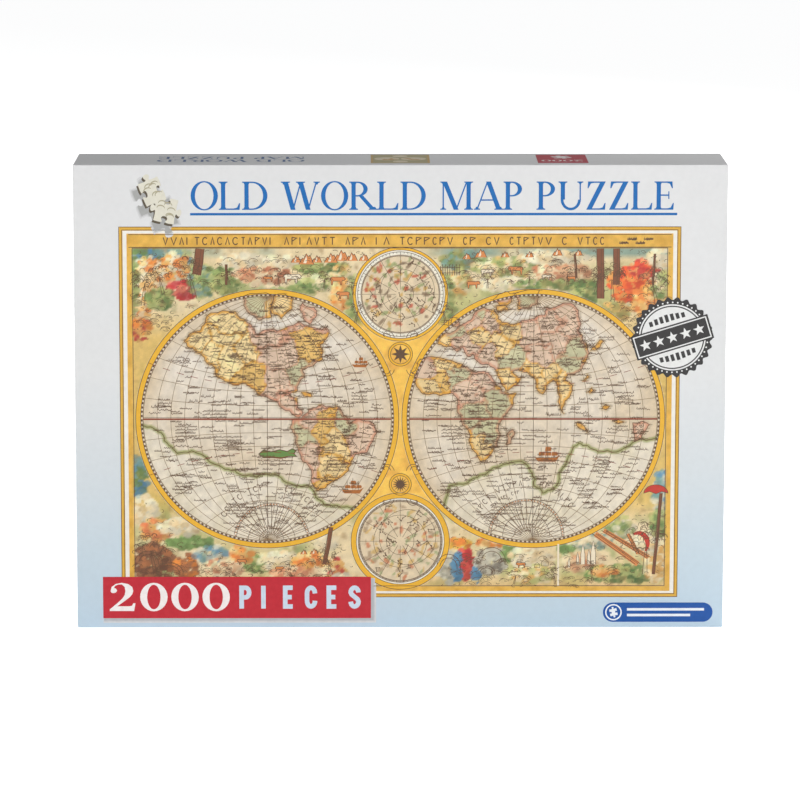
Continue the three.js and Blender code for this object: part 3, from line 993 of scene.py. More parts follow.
def paint_scenes(canvas):
    """Hills, woods, villages and rocks in thin washes, in the corners round the globes."""
    v = canvas.v
    canvas.lay(CREAM, np.ones(v.shape))
    canvas.lay((226, 200, 146), np.clip(canvas.noise(18, 1) * 2.4 - 0.9, 0, 1) * 0.6)
    canvas.lay(TEAL, np.clip((v - 81) / 3, 0, 1) * np.clip(canvas.noise(40, 2) * 3.4 - 1.1, 0, 1) * 0.75)
    canvas.lay(HILL, np.clip((82 - v) / 6, 0, 1) * np.clip(canvas.noise(17, 3) * 3.4 - 1.6, 0, 1) * 0.75)
    canvas.lay(LEAF, np.clip((80 - v) / 8, 0, 1) * np.clip(canvas.noise(11, 4) * 4 - 2.3, 0, 1) * 0.55)
    canvas.lay((226, 186, 96), np.clip((52 - v) / 18, 0, 1) * np.clip((v + 74) / 14, 0, 1) * 0.75)
    canvas.lay(OCHRE, np.clip((-102 - v) / 8, 0, 1) * 0.4)
    # Clumps: middle, half width and half height, colours, and how thick the paint is
    for u, v, ru, rv, colours, strength in (
            (-146, 82, 11, 6, (BLUE, TEAL, LEAF), 0.7), (-128, 80, 9, 7, (BLUE, TEAL, HILL), 0.6),
            (-145, 70, 9, 13, AUTUMN + CREAMS, 0.85), (-130, 75, 8, 10, AUTUMN + CREAMS[:2], 0.85),
            (-149, 54, 6, 9, AUTUMN + CREAMS, 0.8), (-150, 40, 6, 7, (ORANGE, CRIMSON, OCHRE), 0.7),
            (-125, 63, 9, 5, (CRIMSON, (190, 74, 76), (214, 120, 96)), 0.85),
            (-114, 68, 7, 10, (TEAL, LEAF, HILL), 0.6), (-101, 68, 8, 8, WOODS, 0.6),
            (-138, 58, 8, 6, WOODS, 0.7), (-154, 64, 3, 18, WOODS, 0.6), (-80, 72, 16, 6, VILLAGE, 0.8),
            (-92, 80, 13, 4, CREAMS, 0.7), (-66, 80, 12, 3, CREAMS, 0.7), (-45, 76, 16, 3, WOODS, 0.75),
            (-46, 67, 14, 4, (HILL, LEAF, CREAM), 0.7), (-62, 62, 13, 3, WOODS, 0.5),
            (-34, 70, 6, 8, (OCHRE, HILL, CREAM), 0.6), (-34, 60, 5, 9, AUTUMN, 0.6),
            (34, 80, 11, 6, (LEAF, MOSS, TEAL), 0.6), (32, 68, 8, 8, (HILL, CREAM, OCHRE), 0.6),
            (60, 76, 20, 6, (HILL, CREAM, LEAF, OCHRE), 0.6), (62, 66, 18, 4, CREAMS, 0.6),
            (92, 73, 17, 6, VILLAGE, 0.7), (88, 82, 19, 3.5, CREAMS, 0.7), (86, 66, 22, 3, WOODS, 0.6),
            (106, 62, 8, 7, WOODS, 0.7),
            (132, 66, 13, 10, ((236, 108, 54), (238, 158, 84), (220, 84, 50)), 0.9),
            (140, 76, 9, 5, ((204, 66, 58), (228, 88, 54), (238, 160, 100)), 0.85),
            (124, 50, 8, 6, (OCHRE, MOSS), 0.6), (143, 56, 11, 9, AUTUMN, 0.8),
            (148, 44, 8, 8, (OCHRE, ORANGE, HILL), 0.6), (150, 82, 7, 6, CREAMS, 0.7),
            (150, 66, 5, 8, (HILL, LEAF, CREAM), 0.6), (-26, 52, 5, 20, WOODS, 0.5),
            (26, 52, 5, 20, WOODS, 0.5), (-152, -46, 6, 12, (TEAL, BLUE, LEAF), 0.75),
            (-148, -66, 7, 9, CREAMS, 0.7),
            (-143, -98, 12, 12, ((148, 100, 68), EARTH, (122, 78, 56)), 0.9),
            (-124, -99, 6, 8, ((156, 104, 70), EARTH, ORANGE), 0.8),
            (-141, -78, 9, 7, (OCHRE, (214, 120, 74)), 0.6),
            (-122, -85, 13, 4, (LEAF, (128, 158, 92)), 0.75), (-128, -76, 12, 5, CREAMS, 0.7),
            (-110, -92, 10, 5, (BLUE, TEAL, HAZE), 0.45), (-102, -100, 11, 6, VILLAGE, 0.75),
            (-83, -98, 7, 6, (LEAF, HILL), 0.7), (-70, -96, 12, 6, CREAMS, 0.6),
            (-92, -92, 6, 5, AUTUMN, 0.6), (-52, -96, 10, 5, AUTUMN, 0.8),
            (-60, -104, 16, 4, VILLAGE, 0.7), (-44, -84, 8, 6, CREAMS, 0.5),
            (-38, -100, 6, 7, (OCHRE, CRIMSON, CREAM), 0.7), (-33, -108, 7, 5, (STONE, CREAM), 0.7),
            (29, -100, 8, 9, (STONE, (204, 198, 176), (160, 156, 138)), 0.85),
            (38, -98, 5, 9, (CRIMSON, (206, 84, 70)), 0.9), (33, -100, 1.8, 9, (BLUE,), 0.9),
            (45, -102, 2, 7, (BLUE,), 0.85), (34, -86, 7, 3, ((236, 184, 72), ORANGE), 0.85),
            (53, -96, 9, 8, (STONE, (206, 200, 178), (142, 134, 118)), 0.85),
            (53, -84, 9, 4, AUTUMN, 0.8), (64, -90, 4, 6, (LEAF, (140, 170, 100)), 0.8),
            (76, -94, 13, 7, CREAMS, 0.6), (78, -104, 15, 5, (HILL, CREAM, OCHRE), 0.7),
            (98, -88, 6, 5, (LEAF, (140, 170, 100)), 0.75), (110, -84, 13, 5, (HAZE, TEAL, CREAM), 0.6),
            (106, -96, 12, 6, VILLAGE, 0.5), (128, -104, 20, 5, WOODS, 0.8),
            (118, -102, 8, 3, AUTUMN, 0.6), (148, -96, 6, 12, (OCHRE, CREAM), 0.7),
            (128, -76, 8, 6, (LEAF, HILL, HAZE), 0.6), (152, -56, 5, 14, (TEAL, HAZE, BLUE), 0.7),
            (143, -86, 7, 7, CREAMS, 0.6), (150, -74, 5, 8, WOODS, 0.6)):
        count = round(5 + ru * rv * 1.3)
        chance = random.Random(round(u * 11 + v * 5 + 4000))
        for _ in range(count):
            (x, y), size = anywhere(chance, 0, 0, 1), chance.uniform(0.8, 2.3)
            shade = 1 + 0.1 * (y - x) + chance.uniform(-0.06, 0.06)
            colour = [min(250, c * shade) for c in chance.choice(colours)]
            canvas.dab(u + ru * x, v + rv * y, size * 1.4, size, colour, strength, chance.uniform(-0.5, 0.5))
    canvas.lay((140, 104, 66), np.clip(canvas.noise(4, 60, 4) * 4 - 2.5, 0, 1) * 0.4)


def paint_middle(canvas):
    """The gold spandrels between the globes."""
    between = np.clip((34 - np.abs(canvas.u)) / 5, 0, 1) * np.clip((47 - canvas.v) / 6, 0, 1)
    between *= np.clip((canvas.v + 66) / 6, 0, 1)
    canvas.lay((254, 202, 90), between)
    canvas.lay((216, 152, 66), between * np.clip(canvas.noise(7, 80) * 3 - 1.4, 0, 1) * 0.5)


def paint_round_chart(canvas, circle_at, seed, tints):
    """A small round chart: white band, washed disc, and tinted figures of stars."""
    u, v, radius = circle_at
    canvas.lay((244, 238, 220), canvas.disc(u, v, radius))
    canvas.lay((228, 208, 174), canvas.disc(u, v, radius - 4.6))
    chance = random.Random(seed)
    for _ in range(110):
        canvas.dab(*anywhere(chance, u, v, radius - 6), chance.uniform(1, 2.8), chance.uniform(0.6, 1.4),
                   chance.choice(tints), 0.75, chance.uniform(0, 3))


def paint_borders(canvas):
    """Gold bands along the print's edges."""
    u0, v0 = canvas.start
    u1, v1 = canvas.u.max(), canvas.v.max()
    edge = np.minimum.reduce([canvas.u - u0, u1 - canvas.u, canvas.v - v0, (v1 - 5.6) - canvas.v])
    sheen = canvas.noise(5, 90)
    band = np.clip((2.8 - edge) / 0.8 + 0.5, 0, 1)
    canvas.lay((236, 186, 84), band)
    canvas.lay((214, 158, 60), band * np.clip(sheen * 2.4 - 0.9, 0, 1) * 0.6)


def draw_hills(pen, area, count, size, seed):
    """Ranges of small humps with a few shading strokes each."""
    chance = random.Random(seed)
    for _ in range(count):
        u, v = chance.uniform(area[0], area[2]), chance.uniform(area[1], area[3])
        wide = chance.uniform(0.6, 1.3) * size
        pen.stroke(arc(u, v, wide, wide * 0.7, 170, 10, 10), 0.24)
        for share in (0.2, 0.45, 0.7):
            pen.stroke([(u + wide * share, v + wide * 0.6 * (1 - share)), (u + wide * share * 0.8, v)], 0.2)


def draw_tree(pen, u, v, height, seed):
    """A trunk with boughs and a crown of small looped leaves."""
    chance = random.Random(seed)
    lean = chance.uniform(-0.15, 0.15) * height
    top = (u + lean, v + height * 0.6)
    for side in (-0.045, 0.045):
        pen.stroke([(u + side * height, v), (u + side * height * 0.7 + lean * 0.5, v + height * 0.3), top],
                   0.3)
    for _ in range(round(height * 1.8)):
        x, y = anywhere(chance, 0, 0, height)
        pen.stroke(arc(top[0] + 0.36 * x, top[1] + height * 0.1 + 0.3 * y, height * 0.06, height * 0.05,
                       200, -20, 6), 0.24)


def draw_house(pen, u, v, size):
    pen.stroke([(u, v), (u, v + size * 0.6), (u + size * 0.5, v + size), (u + size, v + size * 0.6),
                (u + size, v)], 0.22, closed=True)
    pen.stroke([(u, v + size * 0.6), (u + size, v + size * 0.6)], 0.2)


TRUNKS = ((-115, 87, -117, 72, 5), (114.6, 87, 115, 58, 4), (124, 87, 124, 66, 3.6),
          (-40, -76, -44, -98, 2.2), (151, -56, 147, -104, 1.6), (-100, 78, -100, 66, 1.2),
          (146, 84, 145, 66, 1), (100, 84, 101, 70, 1))
PEAKS = ((-60, 79, 6), (-54, 78, 9), (-48, 79, 6), (-40, 79, 8), (-34, 80, 9), (-28, 80, 7), (-21, 80, 6),
         (38, 81, 5), (46, 82, 7), (60, 82, 5), (74, 82, 5), (90, 83, 6), (102, 83, 5), (-56, -92, 4),
         (-50, -92, 5))
ANIMALS = ((-62, 67, 9), (-76, 68, 5), (-36, 66, 8), (-33, 58, 7), (50, 71, 7), (66, 72, 8), (42, 64, 7),
           (98, 68, 5), (84, 69, 5), (-92, -98, 5), (-70, -102, 4.5), (70, -100, 5))
ANIMAL = [(-0.5, 0.42), (-0.46, 0), (-0.38, 0), (-0.34, 0.28), (0.16, 0.28), (0.2, 0), (0.28, 0),
          (0.32, 0.34), (0.44, 0.3), (0.56, 0.42), (0.46, 0.58), (0.34, 0.6), (0.2, 0.56), (-0.4, 0.58),
          (-0.52, 0.52), (-0.6, 0.3)]
LOGS = ((113, -80, 138, -98, 3.2), (118, -78, 144, -94, 2.6), (132, -80, 138, -92, 1.8))
SPIRES = ((106, -98, 12), (109.5, -98, 9), (112, -98, 14), (103, -98, 7), (98, -100, 6))


def draw_features(brown, orange, red, pale, pen):
    """Crisp trunks, peaks, grazing animals, logs, spires and a red-leaved tree."""
    for bark, lengths in ((brown, TRUNKS), (orange, LOGS)):
        for u0, v0, u1, v1, wide in lengths:
            bark.stroke([(u0, v0), ((u0 + u1) / 2 + 0.4, (v0 + v1) / 2), (u1, v1)], wide)
            for side in (-0.5, 0.5):
                pen.stroke([(u0 + side * wide, v0), (u1 + side * wide, v1)], 0.35)
            pen.stroke([(u0 + 0.15 * wide, v0), (u1 + 0.1 * wide, v1)], 0.25)
    for u, v, size in PEAKS:
        crag = [(-0.6, 0), (-0.32, 0.5), (-0.2, 0.42), (0, 0.85), (0.16, 0.6), (0.3, 0.7), (0.62, 0)]
        orange.fill(moved(crag, u, v, size * 0.8))
        pale.fill(moved([(-0.24, 0.1), (0, 0.7), (0.06, 0.3), (-0.02, 0.08)], u, v, size * 0.8))
        pen.stroke(moved(crag, u, v, size * 0.8), 0.3)
    for i, (u, v, size) in enumerate(ANIMALS):
        beast = moved(ANIMAL, u, v, size, wide=-1 if i % 2 else 1)
        (orange if i % 4 else pale).fill(beast)
        pen.stroke(beast, 0.3, closed=True)
    for u, v, height in SPIRES:
        tower = [(-0.1, 0), (-0.1, 0.5), (0, 1), (0.1, 0.5), (0.1, 0)]
        pale.fill(moved(tower, u, v, height))
        pen.stroke(moved(tower, u, v, height), 0.28)
    crown = arc(148, -56, 7, 5, 0, 180, 14) + [(144.5, -55), (148, -56.4), (151.5, -55)]
    red.fill(crown)
    pen.stroke(crown, 0.3, closed=True)
    red.stroke(arc(138, -86, 5.5, 6.5, -40, 120, 12), 3, taper=True)
    for k in range(12):
        pen.stroke([(23 + k, 71.5), (23 + k, 77 + (k % 2))], 0.4)
    for v in (73, 76):
        pen.stroke([(23, v), (34.5, v)], 0.3)
    pale.stroke([(91.7, -111), (91.7, -86)], 1.1)
    for u, v, ru, rv in ((-146, -97, 8, 7), (-134, -103, 8, 6), (28, -100, 7, 8), (53, -96, 8, 8),
                         (50, -103, 5, 4)):
        for share in (1, 0.72):
            pen.stroke(arc(u, v, ru * share, rv * share, 195 - 30 * share, -10, 14), 0.34)


def draw_scenes(pen):
    for area, count, size in (((-118, 66, -34, 80), 46, 2.6), ((36, 66, 118, 80), 46, 2.6),
                              ((-120, -112, -36, -96), 46, 2.4), ((54, -112, 128, -94), 46, 2.4),
                              ((-154, -112, -126, -86), 26, 3.2), ((32, -111, 52, -92), 20, 3),
                              ((-154, 36, -132, 60), 22, 2.6), ((128, 36, 154, 60), 22, 2.6)):
        draw_hills(pen, area, count, size, round(area[0] + 500))
    for u, v, height in ((-118, 58, 24), (-148, 54, 22), (-136, 60, 18), (122, 56, 22), (148, 52, 24),
                         (112, 62, 14), (-98, 66, 9), (-70, 66, 8), (-44, 64, 10), (50, 64, 9), (74, 66, 8),
                         (96, 66, 10), (-142, -104, 24), (-100, -110, 10), (-62, -110, 12), (-40, -104, 16),
                         (66, -110, 9), (90, -110, 10), (142, -104, 30), (112, -108, 12), (-26, 44, 12),
                         (26, 44, 12), (-27, 60, 10), (27, 60, 10)):
        draw_tree(pen, u, v, height, round(u * 3 + v + 900))
    for u, v, size in ((-90, 74, 2.6), (-86, 74.5, 3.2), (-82, 74, 2.4), (-62, 73, 3), (-58, 73.5, 2.4),
                       (56, 73, 2.6), (60, 73.5, 3.2), (64, 73, 2.4), (84, 74, 3), (100, 73, 2.8),
                       (104, 73.4, 3.6), (78, -100, 3), (82, -99, 4), (87, -100, 3), (-92, -102, 3),
                       (-88, -102, 2.4), (96, -101, 2.6)):
        draw_house(pen, u, v, size)
    chance = random.Random(31)
    for _ in range(1500):
        u, v = chance.uniform(-154, 154), chance.choice((chance.uniform(40, 86), chance.uniform(-111, -62)))
        clear = min(math.dist((u, v), middle) - reach for middle, reach in (
            (LEFT_GLOBE, GLOBE_RADIUS), (RIGHT_GLOBE, GLOBE_RADIUS), (SKY_CIRCLE[:2], SKY_CIRCLE[2]),
            (SEA_CIRCLE[:2], SEA_CIRCLE[2])))
        if clear > 2:
            lean = chance.uniform(0, 360)
            wide = chance.uniform(0.5, 1.8)
            pen.stroke(arc(u, v, wide, wide * 0.6, lean, lean + chance.uniform(60, 200), 5), 0.24)


def draw_ship(pen, paint, u, v, size):
    """A three-masted ship with bellied sails."""
    hull = [(-1, 0.05), (-0.75, -0.3), (0.6, -0.32), (1, 0.25), (0.6, 0.02), (-0.6, 0)]
    paint.fill(moved(hull, u, v, size))
    for mast, height in ((-0.5, 0.8), (0, 1.1), (0.5, 0.8)):
        pen.stroke(moved([(mast, 0), (mast, height)], u, v, size), 0.25)
        for low, high in ((0.15, 0.45), (0.5, 0.85)):
            if high < height:
                sail = [(mast - 0.2, low), (mast + 0.2, low + 0.02)] + arc(mast + 0.2, (low + high) / 2, 0.1,
                                                                          (high - low) / 2, -90, 90, 5)
                paint.fill(moved(sail + [(mast - 0.16, high)], u, v, size))


def draw_round_chart(pen, gold, circle_at, thick, seed):
    """Rings, degree marks, spokes and joined stars of a small round chart."""
    u, v, radius = circle_at
    gold.ring(u, v, radius - thick / 2, thick)
    for reach in (radius, radius - thick, radius - thick - 1.1, radius - 4.6, radius - 5.1):
        pen.ring(u, v, reach, 0.3)
    for step in range(72):
        turn = TAU * step / 72
        tip = radius - 4.6 if step % 3 == 0 else radius - thick - 2
        pen.stroke([polar(u, v, reach, turn) for reach in (radius - thick - 1.1, tip)], 0.24)
    inner = radius - 5.1
    for step in range(12):
        turn = TAU * step / 12
        pen.stroke([polar(u, v, reach, turn) for reach in (inner * 0.12, inner)], 0.2)
    for share in (0.34, 0.66):
        pen.ring(u, v, inner * share, 0.22, 48)
    pen.ring(u + inner * 0.18, v + inner * 0.1, inner * 0.7, 0.22, 64)
    chance = random.Random(seed)
    for _ in range(26):
        path = [anywhere(chance, u, v, inner * 0.9)]
        for _ in range(4):
            path.append((path[-1][0] + chance.uniform(-2.2, 2.2), path[-1][1] + chance.uniform(-2.2, 2.2)))
        path = [p for p in path if math.dist(p, (u, v)) < inner]
        pen.stroke(path, 0.3)
        for p in path:
            pen.fill(circle(*p, 0.36, 7))


def star(u, v, points, outer, inner, turn=90.0):
    return [polar(u, v, inner if i % 2 else outer, math.radians(turn + 180 * i / points))
            for i in range(2 * points)]


# ---- Everything printed on the lid ----------------------------------------------------------
# Left, foot, right and top edges of the map, and of the gold line round it

PICTURE = -157.1, -113.9, 156.5, 95.8
FRAME = -161.7, -117.5, 161.0, 99.8


PAPER_WHITE = (244, 238, 222)
SKY_TINTS = ((196, 84, 60), (150, 160, 104), (206, 162, 84), (134, 110, 84))
SEA_TINTS = ((204, 120, 80), (160, 170, 120), (214, 176, 104), (176, 150, 120))


def paint_picture(west, east):
    """The coloured ground under all the pen work."""
    canvas = Canvas(*PICTURE, 0.84)
    paint_scenes(canvas)
    paint_middle(canvas)
    for globe in (west, east):
        canvas.lay(PAPER_WHITE, canvas.disc(*globe.centre, GLOBE_RADIUS))
        globe.paint(canvas)
    paint_round_chart(canvas, SKY_CIRCLE, 5, SKY_TINTS)
    paint_round_chart(canvas, SEA_CIRCLE, 8, SEA_TINTS)
    paint_borders(canvas)
    canvas.rgb *= (0.94 + 0.12 * canvas.noise(2.6, 97, 2))[..., None]
    canvas.make("map_picture", 1, painted("map_paint"))


TROPIC = 19.4         # height of each tropic from the equator at the globe's middle
RING_WIDTH = 2.9      # the gold ring round each globe


def draw_globe(globe, grid, gold, pen, red):
    """Net, coasts, names, hills, ring and dashed tropics of one globe."""
    globe.draw_lines(grid, pen)
    globe.draw_names(pen, globe.seed)
    globe.draw_ranges(pen, globe.seed)
    u, v = globe.centre
    gold.ring(u, v, GLOBE_RADIUS - RING_WIDTH / 2, RING_WIDTH, 160)
    for reach in (GLOBE_RADIUS, GLOBE_RADIUS - RING_WIDTH, DISC_RADIUS):
        pen.ring(u, v, reach, 0.32, 160)
    for step in range(180):
        start = 2 * step
        pen.stroke(arc(u, v, DISC_RADIUS + 0.75, DISC_RADIUS + 0.75, start, start + 1.05, 2), 0.85)
    red.stroke([(u - DISC_RADIUS, v), (u + DISC_RADIUS, v)], 0.95)
    pen.stroke([(u - DISC_RADIUS, v + 1), (u + DISC_RADIUS, v + 1)], 0.2)
    pen.stroke([(u, v - DISC_RADIUS), (u, v + DISC_RADIUS)], 0.3)
    for lean in (-1, 1):
        tropic = [(u + x * 4.0, v + lean * TROPIC + 0.035 * lean * (x * 4.0) ** 2 / 12)
                  for x in range(-17, 18)]
        for i in range(0, len(tropic) - 1, 2):
            red.stroke(tropic[i:i + 2], 0.3)


def draw_round_pole(pen, globe, x, y):
    """Rows of names bent round the south pole."""
    pole = globe.placed([(x, y)])[0]

    def round_pole(u, v):
        return pole[0] + v * math.sin(u / 31), pole[1] + v * math.cos(u / 31)
    strokes_in_row(pen, -34, -4, 30, 3.2, globe.seed, 0.4, round_pole)
    strokes_in_row(pen, 8, 32, 30, 3.2, globe.seed + 1, 0.4, round_pole)
    strokes_in_row(pen, -26, -6, 25.5, 1.9, globe.seed + 2, 0.3, round_pole)


SEA_BEAST = [(-12, 0), (-9, 2.6), (-4, 1.4), (1, 2.8), (6, 1.6), (9, 3.4), (11.5, 2.2), (10, 0.2),
             (12, -1.6), (7, -1.4), (2, -2.6), (-4, -2), (-9, -2.4)]


def draw_ships_and_beast(west, east, pen, warm, green):
    for globe, spots in ((west, ((71, 42, 5), (65, -55, 6.5))), (east, ((11, -30, 7.5),))):
        for x, y, size in spots:
            draw_ship(pen, warm, *globe.placed([(x, y)])[0], size)
    beast = moved(SEA_BEAST, *west.placed([(8, -27)])[0], 0.92)
    green.fill(beast)
    pen.stroke(beast, 0.5, closed=True)
    warm.stroke(beast[9:], 1.0, taper=True)


def draw_between_globes(pen, gold, green):
    """The two round charts, the two compass stars and the scrolls beside them."""
    draw_round_chart(pen, gold, SKY_CIRCLE, 1.6, 21)
    draw_round_chart(pen, gold, SEA_CIRCLE, 3.0, 22)
    for v, radius, points in ((25.7, 7, 8), (-50.7, 6.4, 16)):
        gold.ring(0, v, radius - 0.6, 1.3, 48)
        for reach in (radius, radius - 1.3):
            pen.ring(0, v, reach, 0.3, 48)
        pen.fill(star(0, v, points, radius - 1.6, (radius - 1.6) * 0.45))
        green.fill(star(0, v, 8, (radius - 1.6) * 0.6, (radius - 1.6) * 0.24))
    for side in (-1, 1):
        for v, lean in ((36, 1), (16, -1), (-42, 1), (-60, -1)):
            for scale in (0.6, 1.0):
                scroll = [(side * (9 + 1.7 * scale * a * math.cos(a)),
                           v + lean * 1.7 * scale * a * math.sin(a))
                          for a in (0.25 * k for k in range(14))]
                pen.stroke(scroll, 0.32)


def draw_heading_and_edges(pen):
    """The band of letters over the map, its rules and the line inside the frame."""
    strokes_in_row(pen, -136, 118, 89.4, 4.2, 71, 0.6)
    for k in range(26):
        chance = random.Random(300 + k)
        scribble(pen, 128 + 7.5 * (k % 4) / 1.6, 90 + 2.2 * (k % 2), 5, 1.2, chance)
    for v in (87.9, 95.2):
        pen.stroke([(-156, v), (155.5, v)], 0.35)
    pen.stroke(rectangle(-153.9, -110.8, 153.3, 87.4), 0.35, closed=True)


def print_map():
    west = Globe(LEFT_GLOBE, [NORTH_WEST_LAND, SOUTH_WEST_LAND, *WEST_ISLES], WEST_SOUTH_COAST,
                 WEST_REALMS, 11)
    east = Globe(RIGHT_GLOBE, [AFRICA_LAND, NORTH_EAST_LAND, *EAST_ISLES], EAST_SOUTH_COAST,
                 EAST_REALMS, 47)
    paint_picture(west, east)

    grid = inked("map_net", 2, (150, 124, 92))
    gold = inked("map_gold", 3, GOLD_RING, 0.36)
    pen = inked("map_pen", 4, INK_BROWN)
    red = inked("map_equator", 5, (142, 66, 44))
    warm = inked("map_ships", 3, (176, 106, 50))
    green = inked("map_sea_beast", 3, (104, 140, 72))
    for globe in (west, east):
        draw_globe(globe, grid, gold, pen, red)
    poles = (west, 3, -94), (east, -5, -91)
    for globe, x, y in poles:
        globe.draw_fan(pen, x, y, 29, warm)
    for pole in poles:
        draw_round_pole(pen, *pole)
    draw_ships_and_beast(west, east, pen, warm, green)
    draw_between_globes(pen, gold, green)
    draw_scenes(pen)
    brown = inked("scene_brown", 3, (132, 82, 56))
    orange = inked("scene_orange", 3, (218, 138, 78))
    scarlet = inked("scene_red", 3, (198, 62, 48))
    pale = inked("scene_pale", 3.5, (238, 224, 196))
    draw_features(brown, orange, scarlet, pale, pen)
    draw_heading_and_edges(pen)
    for ink in (grid, gold, pen, red, warm, green, brown, orange, scarlet, pale):
        ink.make()


def rectangle_inside(box, by):
    """A rectangle's outline, moved in on every side."""
    u0, v0, u1, v1 = box
    return rectangle(u0 + by, v0 + by, u1 - by, v1 - by)


def print_frame():
    """The gold line round the picture with its dark edge."""
    line, edge = 2.3, 0.385
    gold = inked("frame_gold", 1, (222, 172, 66), 0.36)
    gold.band(rectangle_inside(FRAME, 0), rectangle_inside(FRAME, line))
    dark = inked("frame_dark", 2, (104, 74, 34))
    for start in (0, 1.75):
        dark.band(rectangle_inside(FRAME, start), rectangle_inside(FRAME, start + edge))
    pale = inked("frame_gap", 1, (240, 236, 226))
    pale.band(rectangle_inside(FRAME, line), rectangle(*PICTURE))
    for ink in (gold, dark, pale):
        ink.make()


def print_title():
    blue = inked("title", 1, (0, 104, 178), 0.5)
    write_title(blue, "OLD WORLD MAP PUZZLE", -120.5, 158.5, 109.5, 16.3)
    blue.fill(rectangle(-120.5, 106.3, 158.5, 107.7))
    blue.make()


def print_label():
    shade_colours = ((214, 216, 218), (200, 203, 206), (182, 186, 190))
    for i, colour in enumerate(shade_colours):
        grow = 1.6 - 0.7 * i
        shade = inked(f"label_shadow_{i + 1}", 3 + i, colour)
        shade.fill(rectangle(-172.0 - grow * 0.3, -131.0 - grow, -15.6 + grow, -106.5 + grow * 0.4))
        shade.make()
    red = inked("label_red", 7, (196, 34, 50), 0.36)
    red.fill(rectangle(-172.6, -129.9, -17.0, -105.3))
    white = inked("label_count", 8, (246, 240, 238), 0.38)
    u, height = -169.6, 16.6
    step = 18.1
    for c in "2000":
        shapes, width = numeral(c)
        for shape in shapes:
            white.fill(moved(shape, u, -125.6, height, wide=1.2))
        u += step
    pale = inked("label_word", 8, (206, 222, 238), 0.38)
    write_plain(pale, "PIECES", -93.5, -17.5, -124.2, 13.6, 2.7)
    for ink in (red, white, pale):
        ink.make()


def print_stamp():
    """A scalloped seal with a tilted banner of stars and bars."""
    u, v, radius, tilt = 156.5, 35.4, 23.5, 17
    dark = inked("stamp_dark", 9, (52, 50, 50))
    light = inked("stamp_light", 10, (232, 232, 230))
    mark = inked("stamp_marks", 11, (56, 54, 54))
    scallops = [polar(u, v, radius - 0.9 + 0.9 * math.cos(26 * turn), turn)
                for turn in (TAU * i / 312 for i in range(312))]
    dark.fill(scallops)
    light.fill(circle(u, v, radius - 4.2, 96))
    mark.ring(u, v, radius - 5.4, 0.7)
    for step in range(44):
        light.fill(circle(*polar(u, v, radius - 3.1, TAU * step / 44), 0.5, 10))
    banner = [(-23, -7.2), (23, -7.2), (23, 7.2), (-23, 7.2)]
    dark_banner = Ink("stamp_banner", 12, dark.material)
    dark_banner.fill(moved(banner, u, v, 1, tilt))
    white = Ink("stamp_banner_marks", 13, light.material)
    white.stroke(moved(rectangle(-21.6, -6, 21.6, 6), u, v, 1, tilt), 0.7, closed=True)
    for k in range(5):
        white.fill(moved(star(-16 + 8 * k, 0, 5, 3.5, 1.45), u, v, 1, tilt))
    for row, side in ((11.5, 1), (-11.5, -1)):
        for k in range(-3, 4):
            height = 4.4 - 0.5 * abs(k)
            bar = rectangle(k * 3.2 - 1.0, row - height / 2 - 0.3 * side * k * k * 0.25,
                            k * 3.2 + 1.0, row + height / 2 - 0.3 * side * k * k * 0.25)
            mark.fill(moved(bar, u, v, 1, tilt))
    for ink in (dark, light, mark, dark_banner, white):
        ink.make()


def print_badge():
    """A blue badge with a jigsaw piece and two thin lines."""
    u0, v0, u1, v1 = 117.9, -132.3, 181.7, -120.8
    blue = inked("badge", 3, (12, 82, 164), 0.36)
    half = (v1 - v0) / 2
    middle = (v0 + v1) / 2
    right_end = arc(u1 - half, middle, half, half, -90, 90, 16)
    left_end = arc(u0 + half, middle, half, half, 90, 270, 16)
    blue.fill(right_end + left_end)
    white = inked("badge_marks", 4, (240, 244, 250), 0.38)
    white.ring(u0 + half + 0.4, middle, half - 1.3, 0.8, 40)
    white.fill(moved(PLAIN_PIECE, u0 + half + 0.4, middle, 4.2, 12))
    for v, start, end in ((middle + 1.7, u0 + 14, u1 - 5), (middle - 1.7, u0 + 14, u1 - 13)):
        white.stroke([(start, v), (end, v)], 1.5)
    for ink in (blue, white):
        ink.make()


def print_jigsaw_picture():
    """Two interlocked pieces lying tilted beside the title, with a soft shadow."""
    u, v = -139.6, 115.9
    for i, (grow, colour) in enumerate(((3.4, (214, 214, 214)), (1.8, (196, 196, 196)),
                                        (0.4, (170, 170, 168)))):
        shadow = inked(f"piece_shadow_{i + 1}", 1 + i, colour)
        for x, y, size in ((-2.6, 1.2, 15), (5.2, -7.6, 15)):
            shadow.fill(moved(PLAIN_PIECE, u + x - 2.2, v + y - 1.6, size + grow, 20, wide=0.9))
        shadow.make()
    edge = inked("piece_edges", 5, (92, 82, 66))
    face = inked("piece_faces", 6, (224, 220, 204))
    tint = inked("piece_tints", 7, (176, 168, 140))
    for x, y, sides, turn in ((-2.6, 4.2, (1, -1, 1, -1), 22), (5.2, -6.6, (-1, 1, -1, 1), -12)):
        shape = piece_outline(sides)
        edge.fill(moved(shape, u + x - 0.8, v + y - 1.2, 14, turn, wide=0.86))
        face.fill(moved(shape, u + x, v + y, 14, turn, wide=0.86))
        for k in range(6):
            chance = random.Random(k + round(10 * x))
            at = chance.uniform(-0.3, 0.3), chance.uniform(-0.3, 0.3)
            tint.stroke(moved(arc(*at, 0.2, 0.12, 10, 190, 8),
                              u + x, v + y, 13, turn, wide=0.86), 0.7, taper=True)
    for ink in (edge, face, tint):
        ink.make()


# ---- Walls, back and contents ---------------------------------------------------------------

